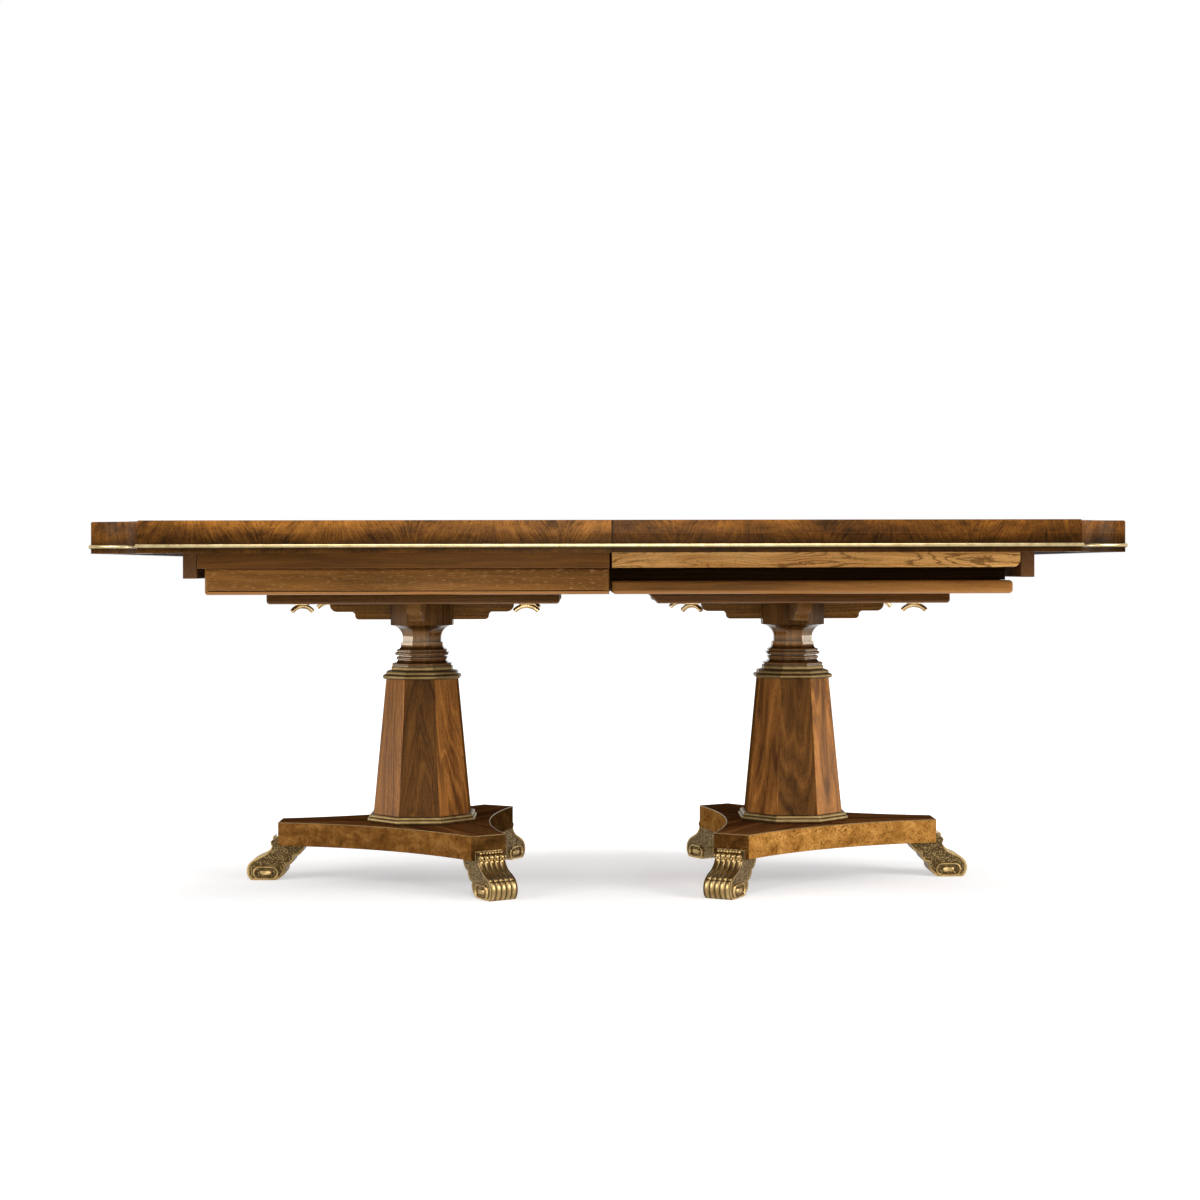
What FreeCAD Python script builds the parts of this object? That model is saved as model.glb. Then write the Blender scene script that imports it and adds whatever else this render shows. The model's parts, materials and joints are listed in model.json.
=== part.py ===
import FreeCAD, Part
import math
import os
from types import SimpleNamespace

import Sketcher

# Double pedestal dining table in two like halves that draw apart on wooden runners.
# Millimetres. Origin on the floor under the middle of the table: +X along its length to the
# right-hand end, +Y to the back, +Z up. Each half is drawn as the right-hand one, with its
# open slide housing at the front and its own runner at the back; the left-hand half is the
# same half turned half way round about the upright axis.

SIZES = {
    # Table top and its edge
    "half_length": 1010,
    "half_width": 571.5,
    "split_gap": 0.6,
    "top_thickness": 25,
    "top_arris": 2,
    "corner_radius": 113,
    "edge_drop": 37,
    "edge_thickness": 30,
    "bead_rise": 9,
    "bead_height": 8.5,
    "bead_proud": 4,
    # Rails under the top
    "rail_spread": 400,
    "rail_thickness": 26,
    "rail_gap": 2.5,
    "upper_rail_height": 66,
    "rail_overhang": 194,
    "upper_rail_round": 15,
    "end_rail_height": 86,
    "end_rail_thickness": 27,
    "end_rail_gap": 1,
    "lower_rail_round": 6,
    # Extension slide
    "slot_height": 26,
    "board_setback": 14,
    "board_width": 217,
    "board_thickness": 26.5,
    "board_round": 8,
    "guide_thickness": 26,
    "top_guide_thickness": 22,
    "runner_line": 298,
    "runner_width": 60,
    "runner_setback": 2,
    "slide_play": 0.3,
    "tongue_width": 12,
    "tongue_height": 8,
    # Pedestal head
    "bearer_length": 600,
    "bearer_width": 70,
    "bearer_thickness": 21,
    "bearer_spread": 218,
    "bearer_round": 7,
    "bearer_bevel": 23,
    "bracket_thickness": 28,
    "bracket_height": 37.5,
    "bracket_tip_height": 21,
    "bracket_round": 15,
    "long_bracket_reach": 198.5,
    "cross_bracket_reach": 246,
    "bracket_nose": 46,
    "cap_half": 66.5,
    "cap_height": 49.5,
    "neck_height": 88.2,
    "spigot_half": 60,
    "collar_height": 27.4,
    "collar_half": 82.8,
    # Column and plinth
    "column_height": 304.8,
    "column_head_half": 75.8,
    "column_foot_half": 103.8,
    "stave_thickness": 28,
    "base_ring_height": 16,
    "base_ring_half": 115,
    "seat_half": 110,
    "seat_thickness": 2.6,
    "plinth_thickness": 50,
    "plinth_reach": 307.5,
    "plinth_hollow": 42,
    "clip_width": 79,
    # Scroll foot
    "foot_height": 75,
    "foot_width": 62,
    "foot_reach": 68.5,
    "foot_back": 54.5,
    "foot_lip": 19,
    "foot_fit": 0.2,
    "reed_depth": 3,
    "volute_proud": 2.5,
    "volute_length": 56,
    "volute_height": 30,
    "volute_rim": 5,
    "volute_rise": 0.8,
    # Wing screw
    "shank_radius": 5,
    "shank_play": 0.5,
    "shank_length": 40,
    "screw_seat_radius": 15,
    "screw_seat_thickness": 2,
    "wing_bar_radius": 4.2,
    "wing_arch_radius": 33,
    # Reach of every cutting shape past the piece that it cuts
    "overrun": 10,
}

# Shares that give the mouldings and castings their outlines
quarter_arc_share = 0.2071
octagon_side_share = math.tan(math.pi / 8)
screw_spread_share = 0.385
wing_sweep_degrees = 98
screw_turn_degrees = [-23, -41, 40, 4]
reed_count = 5
reed_width_share = 0.84
stave_count = 8
corner_degrees = [0, 120, 240]

# Half-round edge bead from its foot up, in flats: out as a share of its stand, up as a share of its height.
bead_shares = [(0, 0), (0.72, 0.12), (1.0, 0.36), (1.0, 0.64), (0.72, 0.88), (0, 1)]

# Neck and ring moulding from its foot up: half width as a share of the cap block's, height as a
# share of the neck's, and the bulge of the stretch above as a share of its chord.
neck_shares = [
    (0.925, 0.0, 0),
    (0.925, 0.026, 0),
    (0.940, 0.026, 0.2),
    (0.790, 0.160, 0),
    (0.790, 0.176, -0.36),
    (0.790, 0.257, 0),
    (0.812, 0.257, 0),
    (0.812, 0.272, 0.34),
    (0.812, 0.393, 0),
    (0.775, 0.393, -0.17),
    (0.672, 0.525, 0),
    (0.672, 0.583, 0),
    (0.617, 0.583, 0),
    (0.617, 0.683, -0.2),
    (1.0, 1.0, 0),
]

# Brass collar from its foot up, in three tiers, with half widths as shares of its widest moulding.
collar_shares = [
    (0.950, 0.0, 0.33),
    (0.975, 0.34, 0),
    (0.915, 0.36, 0.1),
    (0.900, 0.62, 0),
    (0.800, 0.67, 0),
    (0.778, 0.70, 0.08),
    (0.770, 1.0, 0),
]

# Two low reeds round the foot of the column, the lower one standing further out.
base_ring_shares = [
    (0.990, 0.0, 0.12),
    (0.990, 0.47, 0),
    (0.955, 0.49, 0),
    (0.955, 0.53, 0),
    (0.965, 0.55, 0.12),
    (0.955, 0.92, 0),
    (0.930, 1.0, 0),
]

# Scroll foot seen from its side. Front: forward of the plinth's clipped corner in shares of the
# foot's reach, up in shares of its height. Rear: behind the corner in shares of the foot's back.
foot_front_shares = [
    (0.13, 0.0, 0),
    (0.85, 0.0, 0.25),
    (0.85, 0.55, 0.037),
    (0.568, 0.69, -0.085),
    (0.20, 0.965, 0),
]
foot_lip_shares = [
    (0.20, 0.0, 0.4),
    (0.17, 0.62, -0.12),
    (0.04, 1.0, 0),
]
foot_rear_shares = [
    (1.0, 1.0, 0.2),
    (0.62, 0.67, 0.2),
    (0.27, 0.40, 0.2),
    (0.10, 0.10, 0.12),
]


class Size:
    """A length with its value and the spreadsheet formula that it follows."""

    def __init__(self, value, text):
        self.value = value
        self.text = text

    def __add__(self, other):
        return Size(self.value + other.value, f"({self.text} + {other.text})")

    def __sub__(self, other):
        return Size(self.value - other.value, f"({self.text} - {other.text})")

    def __neg__(self):
        return Size(-self.value, f"(0 - {self.text})")

    def __mul__(self, factor):
        return Size(self.value * factor, f"({self.text} * {factor})")

    def __truediv__(self, factor):
        return Size(self.value / factor, f"({self.text} / {factor})")


ZERO = Size(0, "0")

doc = FreeCAD.newDocument("DoublePedestalTable")
sheet = doc.addObject("Spreadsheet::Sheet", "Sizes")
for row, (alias, number) in enumerate(SIZES.items(), start=1):
    sheet.set(f"A{row}", alias)
    sheet.set(f"B{row}", str(number))
    sheet.setAlias(f"B{row}", alias)
doc.recompute()
size = SimpleNamespace(**{alias: Size(float(sheet.get(alias)), f"Sizes.{alias}") for alias in SIZES})

# Heights from the floor, one piece on the other
plinth_top = size.foot_height + size.plinth_thickness
seat_top = plinth_top + size.seat_thickness
column_top = seat_top + size.column_height
collar_top = column_top + size.collar_height
neck_top = collar_top + size.neck_height
cap_top = neck_top + size.cap_height
bearer_top = cap_top + size.bearer_thickness
board_top = bearer_top + size.board_thickness
slot_top = board_top + size.slot_height
top_under = slot_top + size.upper_rail_height
top_face = top_under + size.top_thickness

# Places along and across one half
split_face = size.split_gap / 2
rail_end = size.half_length - size.rail_overhang
board_end = rail_end - size.board_setback
runner_end = board_end - size.runner_setback
pedestal_line = (size.rail_gap + board_end) / 2
screw_spread = size.bearer_length * screw_spread_share
rail_inner = size.rail_spread - size.rail_thickness
board_inner = size.rail_spread - size.board_width
runner_inner = size.runner_line - size.runner_width / 2
runner_outer = size.runner_line + size.runner_width / 2
guide_outer = runner_inner - size.slide_play
runner_bottom = board_top + size.slide_play
runner_top = slot_top - size.slide_play

HALVES = [
    SimpleNamespace(name="right", turn=0, sign=1, open_side="front", closed_side="back"),
    SimpleNamespace(name="left", turn=180, sign=-1, open_side="back", closed_side="front"),
]
parts = []
cuts = []


def distance(start, end):
    """Straight distance between two points given in sizes."""
    across, along = end[0] - start[0], end[1] - start[1]
    value = math.hypot(across.value, along.value)
    return Size(value, f"sqrt({across.text}^2 + {along.text}^2)")


def arc_through(start, end, bulge, radius):
    """Arc between two points whose rise over the chord is bulge times the chord, to the right if positive."""
    chord = end - start
    left = FreeCAD.Vector(-chord.y, chord.x, 0).normalize()
    side = 1 if bulge > 0 else -1
    centre = (start + end) / 2 + left * (side * (radius - abs(bulge) * chord.Length))
    first, last = (start, end) if bulge > 0 else (end, start)
    angles = [math.atan2(point.y - centre.y, point.x - centre.x) for point in (first, last)]
    circle = Part.Circle(centre, FreeCAD.Vector(0, 0, 1), radius)
    return Part.ArcOfCircle(circle, *angles)


def pin(rules, named, geometry, point, place):
    """Fix one end of a line or arc at a place given in sizes."""
    for kind, axis, length in (("DistanceX", -2, place[0]), ("DistanceY", -1, place[1])):
        if length is ZERO:
            rules.append(Sketcher.Constraint("PointOnObject", geometry, point, axis))
        else:
            named.append((len(rules), length.text))
            rules.append(Sketcher.Constraint(kind, -1, 1, geometry, point, length.value))


def draw(sketch, corners, closed=True):
    """Outline through the corners; a corner's third entry is the bulge of the stretch after it."""
    places = [FreeCAD.Vector(corner[0].value, corner[1].value, 0) for corner in corners]
    count = len(corners) if closed else len(corners) - 1
    first = sketch.GeometryCount
    rules, named, ends = [], [], []
    for index in range(count):
        corner, following = corners[index], corners[(index + 1) % len(corners)]
        start, end = places[index], places[(index + 1) % len(corners)]
        bulge = corner[2] if len(corner) > 2 else 0
        geometry = first + index
        if bulge == 0:
            sketch.addGeometry(Part.LineSegment(start, end))
            ends.append((1, 2))
        else:
            radius = distance(corner, following) * ((1 + 4 * bulge * bulge) / (8 * abs(bulge)))
            sketch.addGeometry(arc_through(start, end, bulge, radius.value))
            ends.append((1, 2) if bulge > 0 else (2, 1))
            named.append((len(rules), radius.text))
            rules.append(Sketcher.Constraint("Radius", geometry, radius.value))
        pin(rules, named, geometry, ends[index][0], corner)
    for index in range(count):
        following = (index + 1) % count
        if closed or following:
            rules.append(Sketcher.Constraint("Coincident", first + index, ends[index][1],
                                             first + following, ends[following][0]))
    if not closed:
        pin(rules, named, first + count - 1, ends[-1][1], corners[-1])
    bind(sketch, rules, named)


def draw_circle(sketch, centre, radius):
    """Circle of a given radius about a place given in sizes."""
    middle = FreeCAD.Vector(centre[0].value, centre[1].value, 0)
    geometry = sketch.addGeometry(Part.Circle(middle, FreeCAD.Vector(0, 0, 1), radius.value))
    rules, named = [], [(0, radius.text)]
    rules.append(Sketcher.Constraint("Radius", geometry, radius.value))
    pin(rules, named, geometry, 3, centre)
    bind(sketch, rules, named)


def bind(sketch, rules, named):
    """Add the constraints to a sketch and tie each size among them to the spreadsheet."""
    offset = sketch.ConstraintCount
    sketch.addConstraint(rules)
    for index, text in named:
        sketch.setExpression(f"Constraints[{offset + index}]", text)


def place(piece, half, offset=ZERO, height=ZERO, turn=0, aside=ZERO):
    """Put a piece on its half: offset along it, aside across it, at a height, turned about the upright."""
    angle = half.turn + turn
    piece.Placement = FreeCAD.Placement(FreeCAD.Vector(), FreeCAD.Rotation(FreeCAD.Vector(0, 0, 1), angle))
    for axis, length in (("x", offset * half.sign), ("y", aside * half.sign), ("z", height)):
        piece.setExpression(f"Placement.Base.{axis}", length.text)


def label(piece, half, name):
    """Name a finished piece and list it for the hand-over."""
    piece.Label = f"{half.name}_{name}"
    parts.append(piece)
    return piece


def new_body(half, name):
    body = doc.addObject("PartDesign::Body", f"{half.name}_{name}_body")
    return label(body, half, name)


def add_sketch(body, role, offset=ZERO):
    """Empty sketch on one of the body's own origin planes, moved along that plane's normal."""
    sketch = body.newObject("Sketcher::SketchObject", "Outline")
    plane = next(item for item in body.Origin.OriginFeatures if item.Role == role)
    sketch.AttachmentSupport = [(plane, "")]
    sketch.MapMode = "FlatFace"
    if offset is not ZERO:
        sketch.setExpression("AttachmentOffset.Base.z", offset.text)
    return sketch


def pad(body, role, outlines, start, stop):
    """Pad closed outlines between two places along the axis that the plane faces."""
    backwards = role == "XZ_Plane"
    sketch = add_sketch(body, role, -start if backwards else start)
    for corners in outlines:
        draw(sketch, corners)
    feature = body.newObject("PartDesign::Pad", "Pad")
    feature.Profile = sketch
    feature.Reversed = backwards
    feature.setExpression("Length", (stop - start).text)
    return feature


def cut_upwards(body, sketch, depth):
    """Cut a sketch's outlines upwards out of a body."""
    feature = body.newObject("PartDesign::Pocket", "Cut")
    feature.Profile = sketch
    feature.Reversed = True
    feature.setExpression("Length", depth.text)
    cuts.append(feature)


def drill(body, centres, radius, start, depth):
    """Round upright holes of one depth, bored upwards from a level."""
    sketch = add_sketch(body, "XY_Plane", start)
    for centre in centres:
        draw_circle(sketch, centre, radius)
    cut_upwards(body, sketch, depth)


def rectangle(low, high):
    """Corners of an upright rectangle, anticlockwise from the lower left."""
    return [low, (high[0], low[1]), high, (low[0], high[1])]


def rounded(low, high, lower_left=None, lower_right=None, upper_right=None):
    """Rectangle whose named corners are quarter rounds of the given radii."""
    corners = []
    for corner, radius, steps in (
        (low, lower_left, ((0, 1), (1, 0))),
        ((high[0], low[1]), lower_right, ((-1, 0), (0, 1))),
        (high, upper_right, ((0, -1), (-1, 0))),
        ((low[0], high[1]), None, ()),
    ):
        if radius is None:
            corners.append(corner)
            continue
        before, after = [(corner[0] + radius * across, corner[1] + radius * up) for across, up in steps]
        corners.append((*before, quarter_arc_share))
        corners.append(after)
    return corners


def octagon(half_width):
    """Regular octagon with a flat towards each side, given half its width across flats."""
    near = half_width * octagon_side_share
    pairs = [(half_width, -near), (half_width, near), (near, half_width), (-near, half_width)]
    return pairs + [(-across, -along) for across, along in pairs]


def outer_outline():
    """One half of the top seen from above: square at the split, scooped at both outer corners."""
    side, end = size.half_width - size.corner_radius, size.half_length - size.corner_radius
    return [
        (split_face, -size.half_width),
        (end, -size.half_width, -quarter_arc_share),
        (size.half_length, -side),
        (size.half_length, side, -quarter_arc_share),
        (end, size.half_width),
        (split_face, size.half_width),
    ]


def top_panel(half):
    """Veneered panel with an eased upper arris on its three outer sides."""
    body = new_body(half, "top_panel")
    slab = pad(body, "XY_Plane", [outer_outline()], top_under, top_face)
    doc.recompute()
    edges = []
    for number, edge in enumerate(slab.Shape.Edges, start=1):
        box = edge.BoundBox
        flat = box.ZLength < size.top_arris.value and box.ZMin > top_face.value - size.top_arris.value
        if flat and box.XMax > split_face.value + size.top_arris.value:
            edges.append(f"Edge{number}")
    arris = body.newObject("PartDesign::Chamfer", "Arris")
    arris.Base = (slab, edges)
    arris.setExpression("Size", size.top_arris.text)
    place(body, half)


def scoop_reach():
    """How far from the lost square corner the inner face of a scoop meets the straight edges."""
    outer = size.corner_radius + size.edge_thickness
    value = math.sqrt(outer.value ** 2 - size.edge_thickness.value ** 2)
    return Size(value, f"sqrt({outer.text}^2 - {size.edge_thickness.text}^2)")


def side_edge(half, side, sign):
    """Deep edge along one long side, with the scooped corner worked on its outer end."""
    body = new_body(half, f"{side}_edge")
    reach = scoop_reach()
    inner_x, inner_y = size.half_length - size.edge_thickness, size.half_width - size.edge_thickness
    spare_angle = math.atan2(size.edge_thickness.value, reach.value)
    inner_bulge = math.tan((math.pi / 2 - spare_angle * 2) / 4) / 2
    corners = [
        (split_face, -size.half_width),
        (size.half_length - size.corner_radius, -size.half_width, -quarter_arc_share),
        (size.half_length, size.corner_radius - size.half_width),
        (size.half_length, reach - size.half_width),
        (inner_x, reach - size.half_width, inner_bulge),
        (size.half_length - reach, -inner_y),
        (split_face, -inner_y),
    ]
    if sign > 0:
        corners = mirrored(corners)
    pad(body, "XY_Plane", [corners], top_under - size.edge_drop, top_under)
    place(body, half)


def mirrored(corners):
    """The same outline with front and back exchanged, still anticlockwise."""
    turned = []
    for index in range(len(corners) - 1, -1, -1):
        across, along = corners[index][:2]
        before = corners[index - 1]
        bulge = before[2:] if len(before) > 2 else ()
        turned.append((across, -along, *bulge))
    return turned


def end_edge(half):
    """Deep edge across the outer end, between the two scooped corners."""
    body = new_body(half, "end_edge")
    side = size.half_width - scoop_reach()
    low = (size.half_length - size.edge_thickness, -side)
    pad(body, "XY_Plane", [rectangle(low, (size.half_length, side))], top_under - size.edge_drop, top_under)
    place(body, half)


def edge_bead(half):
    """Half-round brass bead swept round the three outer sides, mitred where the scoops meet the sides."""
    body = new_body(half, "edge_bead")
    bottom = top_under - size.edge_drop + size.bead_rise
    route = add_sketch(body, "XY_Plane", bottom)
    draw(route, outer_outline(), closed=False)
    section = add_sketch(body, "YZ_Plane", split_face)
    draw(section, [
        (-size.half_width - size.bead_proud * out_share, bottom + size.bead_height * up_share)
        for out_share, up_share in bead_shares
    ])
    sweep = body.newObject("PartDesign::AdditivePipe", "Bead")
    sweep.Profile = section
    sweep.Spine = route
    sweep.Transition = "Right corner"
    place(body, half)


def upper_rail(half, side, sign):
    """Long rail under the top; the one over the open housing is rounded below at its outer end."""
    body = new_body(half, f"{side}_upper_rail")
    rounding = size.upper_rail_round if sign < 0 else None
    outline = rounded((size.rail_gap, slot_top), (rail_end, top_under), lower_right=rounding)
    near, far = (-size.rail_spread, -rail_inner) if sign < 0 else (rail_inner, size.rail_spread)
    pad(body, "XZ_Plane", [outline], near, far)
    place(body, half)


def end_rail(half):
    """Cross rail that closes the outer end of the frame."""
    body = new_body(half, "end_rail")
    near = rail_end + size.end_rail_gap
    outline = rectangle((-size.rail_spread, top_under - size.end_rail_height), (size.rail_spread, top_under))
    pad(body, "YZ_Plane", [outline], near, near + size.end_rail_thickness)
    place(body, half)


def lower_rail(half):
    """Deep lower rail that hides the runner on the closed long side."""
    body = new_body(half, "lower_rail")
    outline = rounded((size.rail_gap, bearer_top), (board_end, slot_top),
                      lower_left=size.lower_rail_round, lower_right=size.lower_rail_round)
    pad(body, "XZ_Plane", [outline], rail_inner, size.rail_spread)
    place(body, half)


def screw_centres(aside):
    """The two wing screws on one bearer, either side of the pedestal's axis."""
    return [(pedestal_line - screw_spread, aside), (pedestal_line + screw_spread, aside)]


def slide_board(half):
    """Bottom board of the open housing, with the tongue that keeps the other half's runner in line."""
    body = new_body(half, "slide_board")
    outline = rounded((size.rail_gap, bearer_top), (board_end, board_top),
                      lower_left=size.board_round, lower_right=size.board_round, upper_right=size.board_round)
    pad(body, "XZ_Plane", [outline], -size.rail_spread, -board_inner)
    across = size.tongue_width / 2
    tongue = rectangle((-size.runner_line - across, board_top), (across - size.runner_line,
                                                                board_top + size.tongue_height))
    pad(body, "YZ_Plane", [tongue], size.rail_gap, board_end - size.board_round)
    drill(body, screw_centres(-size.bearer_spread), size.shank_radius + size.shank_play, bearer_top,
          size.shank_length - size.bearer_thickness + size.shank_play)
    place(body, half)


def inner_guide(half):
    """Upright guide between the bottom board and the top, against the inner face of the runner."""
    body = new_body(half, "inner_guide")
    outline = rectangle((size.rail_gap, board_top), (board_end - size.board_round, top_under))
    pad(body, "XZ_Plane", [outline], -guide_outer, size.guide_thickness - guide_outer)
    place(body, half)


def top_guide(half):
    """Flat guide over the runner, from the inner guide to the upper rail."""
    body = new_body(half, "top_guide")
    outline = rectangle((size.rail_gap, slot_top), (board_end, slot_top + size.top_guide_thickness))
    pad(body, "XZ_Plane", [outline], -rail_inner, -guide_outer)
    place(body, half)


def runner(half):
    """Long runner, fixed on the closed side and reaching into the other half, grooved for the tongue."""
    body = new_body(half, "runner")
    groove = size.tongue_width / 2 + size.slide_play
    groove_top = board_top + size.tongue_height + size.slide_play
    outline = [
        (runner_inner, runner_bottom),
        (size.runner_line - groove, runner_bottom),
        (size.runner_line - groove, groove_top),
        (size.runner_line + groove, groove_top),
        (size.runner_line + groove, runner_bottom),
        (runner_outer, runner_bottom),
        (runner_outer, runner_top),
        (runner_inner, runner_top),
    ]
    pad(body, "YZ_Plane", [outline], -runner_end, runner_end)
    place(body, half)


def runner_bed(half):
    """Board under the half's own runner, which also takes two of the wing screws."""
    body = new_body(half, "runner_bed")
    outline = rectangle((size.rail_gap, bearer_top), (board_end, runner_bottom))
    pad(body, "XZ_Plane", [outline], board_inner, rail_inner)
    drill(body, screw_centres(size.bearer_spread), size.shank_radius + size.shank_play, bearer_top,
          size.shank_length - size.bearer_thickness + size.shank_play)
    place(body, half)


def bearer(half, side, sign):
    """Flat bearer on the pedestal head; the front one of the right-hand half is bevelled at its inner end."""
    body = new_body(half, f"{side}_bearer")
    reach = size.bearer_length / 2
    near, far = -reach, reach
    outline = rounded((near, cap_top), (far, bearer_top), lower_left=size.bearer_round,
                      lower_right=size.bearer_round)
    if half.sign > 0 > sign:
        bevel_foot = near - size.bearer_bevel + size.bearer_thickness
        outline = [(bevel_foot, cap_top)] + outline[2:-1] + [(near - size.bearer_bevel, bearer_top)]
    middle = size.bearer_spread * sign
    pad(body, "XZ_Plane", [outline], middle - size.bearer_width / 2, middle + size.bearer_width / 2)
    drill(body, [(-screw_spread, middle), (screw_spread, middle)],
          size.shank_radius + size.shank_play, cap_top, size.bearer_thickness)
    place(body, half, pedestal_line)


def bracket_arm(half, reach, turn):
    """One shaped bracket arm against a flat of the cap block, with a rounded nose and a stepped curve."""
    body = doc.addObject("PartDesign::Body", "bracket_arm")
    foot = cap_top - size.bracket_height
    nose = cap_top - size.bracket_tip_height
    step = (nose - foot) / 2
    shoulder = reach - size.bracket_nose
    outline = [
        (size.cap_half, foot),
        (shoulder - step * 2, foot, quarter_arc_share),
        (shoulder - step, foot + step, -quarter_arc_share),
        (shoulder, nose),
        (reach - size.bracket_round, nose, quarter_arc_share),
        (reach, nose + size.bracket_round),
        (reach, cap_top),
        (size.cap_half, cap_top),
    ]
    pad(body, "XZ_Plane", [outline], -size.bracket_thickness / 2, size.bracket_thickness / 2)
    place(body, half, pedestal_line, turn=turn)
    return body


def brackets(half):
    """Four bracket arms round the cap block: two along the table, two longer ones across it."""
    reaches = [size.long_bracket_reach, size.cross_bracket_reach]
    arms = [bracket_arm(half, reaches[index % 2], 90 * index) for index in range(4)]
    group = doc.addObject("Part::Compound", "brackets")
    group.Links = arms
    label(group, half, "brackets")


def cap_block(half):
    """Octagonal block at the head of the pedestal."""
    body = new_body(half, "cap_block")
    pad(body, "XY_Plane", [octagon(size.cap_half)], neck_top, cap_top)
    place(body, half, pedestal_line)


def moulded_octagon(profile, widest):
    """Octagonal moulding: one profile run straight across in four directions, keeping what all four share.

    The profile lists half widths and heights from the foot up, with bulges."""
    right = list(profile)
    left = []
    for index in range(len(profile) - 1, -1, -1):
        bulge = profile[index - 1][2:] if index else ()
        left.append((-profile[index][0], profile[index][1], *bulge))
    sketch = doc.addObject("Sketcher::SketchObject", "Profile")
    sketch.Placement.Rotation = FreeCAD.Rotation(FreeCAD.Vector(1, 0, 0), 90)
    draw(sketch, right[:-1] + [right[-1][:2]] + left)
    runs = []
    for turn in (0, 45, 90, 135):
        run = doc.addObject("Part::Extrusion", "Run")
        run.Placement.Rotation = FreeCAD.Rotation(FreeCAD.Vector(0, 0, 1), turn)
        run.Base = sketch
        run.DirMode = "Normal"
        run.Solid = True
        run.Symmetric = True
        run.setExpression("LengthFwd", (widest * 2 + size.overrun * 2).text)
        runs.append(run)
    while len(runs) > 1:
        common = doc.addObject("Part::Common", "Moulding")
        common.Base, common.Tool = runs.pop(0), runs.pop(0)
        runs.append(common)
    return runs[0]


def scaled(shares, widest, low, height):
    """Moulding profile from its shares: half widths of the widest, heights of the height above low."""
    profile = []
    for across_share, up_share, bulge_share in shares:
        corner = (widest * across_share, low + height * up_share)
        profile.append((*corner, bulge_share) if bulge_share else corner)
    return profile


def neck(half):
    """Cavetto neck over a ring moulding, with a spigot that passes down through the collar."""
    moulding = moulded_octagon(scaled(neck_shares, size.cap_half, collar_top, size.neck_height), size.cap_half)
    spigot = doc.addObject("PartDesign::Body", "spigot")
    pad(spigot, "XY_Plane", [octagon(size.spigot_half)], column_top, collar_top + size.overrun)
    whole = doc.addObject("Part::Fuse", "neck")
    whole.Base, whole.Tool = moulding, spigot
    label(whole, half, "neck")
    place(whole, half, pedestal_line)


def ring(half, name, shares, widest, low, height, bore):
    """Brass octagonal ring moulding with a straight octagonal bore."""
    moulding = moulded_octagon(scaled(shares, widest, low, height), widest)
    hole = doc.addObject("PartDesign::Body", "bore")
    pad(hole, "XY_Plane", [octagon(bore)], low - size.overrun, low + height + size.overrun)
    whole = doc.addObject("Part::Cut", "ring")
    whole.Base, whole.Tool = moulding, hole
    label(whole, half, name)
    place(whole, half, pedestal_line)


def stave(half, turn):
    """One leaning board of the column, both edges mitred on planes through the column's axis."""
    body = doc.addObject("PartDesign::Body", "stave")
    across = size.column_foot_half * octagon_side_share
    lean = [
        (size.column_foot_half - size.stave_thickness, seat_top),
        (size.column_foot_half, seat_top),
        (size.column_head_half, column_top),
        (size.column_head_half - size.stave_thickness, column_top),
    ]
    pad(body, "XZ_Plane", [lean], -across, across)
    near = size.column_head_half - size.stave_thickness - size.overrun
    far = size.column_foot_half + size.overrun
    mitres = add_sketch(body, "XY_Plane", seat_top - size.overrun)
    for share in (octagon_side_share, -octagon_side_share):
        draw(mitres, [(near, near * share), (far, far * share), (near, far * share)])
    cut_upwards(body, mitres, size.column_height + size.overrun * 2)
    place(body, half, pedestal_line, turn=turn)
    return body


def column(half):
    """Eight staves that make the hollow tapering column."""
    group = doc.addObject("Part::Compound", "column")
    group.Links = [stave(half, 360 / stave_count * index) for index in range(stave_count)]
    label(group, half, "column")


def plinth(half):
    """Three-cornered plinth with hollowed sides and clipped corners, and the column's octagonal seat."""
    body = new_body(half, "plinth")
    chord = size.plinth_reach * math.sqrt(3) - size.clip_width / 2
    bulge = size.plinth_hollow.value / chord.value
    corners = []
    for angle in corner_degrees:
        across, along = math.cos(math.radians(angle)), math.sin(math.radians(angle))
        for side, bend in ((-1, ()), (1, (-bulge,))):
            aside = size.clip_width * side / 2
            corner = (size.plinth_reach * across - aside * along, size.plinth_reach * along + aside * across)
            corners.append((*corner, *bend))
    pad(body, "XY_Plane", [corners], size.foot_height, plinth_top)
    pad(body, "XY_Plane", [octagon(size.seat_half)], plinth_top, seat_top)
    place(body, half, pedestal_line)


def without_kinks(corners):
    """Give every later arc of a run the bulge that lets it leave the arc before it smoothly."""
    smooth = list(corners)
    heading = None
    for index in range(len(corners) - 1):
        here, ahead = corners[index], corners[index + 1]
        if here[2] == 0:
            continue
        chord = math.atan2(ahead[1].value - here[1].value, ahead[0].value - here[0].value)
        bulge = here[2] if heading is None else math.tan((chord - heading) / 2) / 2
        smooth[index] = (*here[:2], bulge)
        heading = chord + 2 * math.atan(2 * bulge)
    return smooth


def foot_outline(set_back=ZERO):
    """Side of the scroll foot: toe, ogee front, rolled lip, seat under the plinth and leafy rear.

    The toe and front can be set back to the floor of the flutes between the reeds."""
    face = size.plinth_reach + size.foot_fit
    front = []
    for out_share, up_share, bulge_share in foot_front_shares:
        out = face + size.foot_reach * out_share
        if front:
            out = out - set_back
        front.append((out, size.foot_height * up_share, bulge_share))
    corners = without_kinks(front)
    for out_share, up_share, bulge_share in foot_lip_shares:
        corners.append((face + size.foot_reach * out_share, size.foot_height + size.foot_lip * up_share, bulge_share))
    corners.append((face, size.foot_height + size.foot_lip))
    corners.append((face, size.foot_height))
    for back_share, up_share, bulge_share in foot_rear_shares:
        corners.append((face - size.foot_back * back_share, size.foot_height * up_share, bulge_share))
    return [corner if len(corner) == 2 or corner[2] else corner[:2] for corner in corners]


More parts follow.
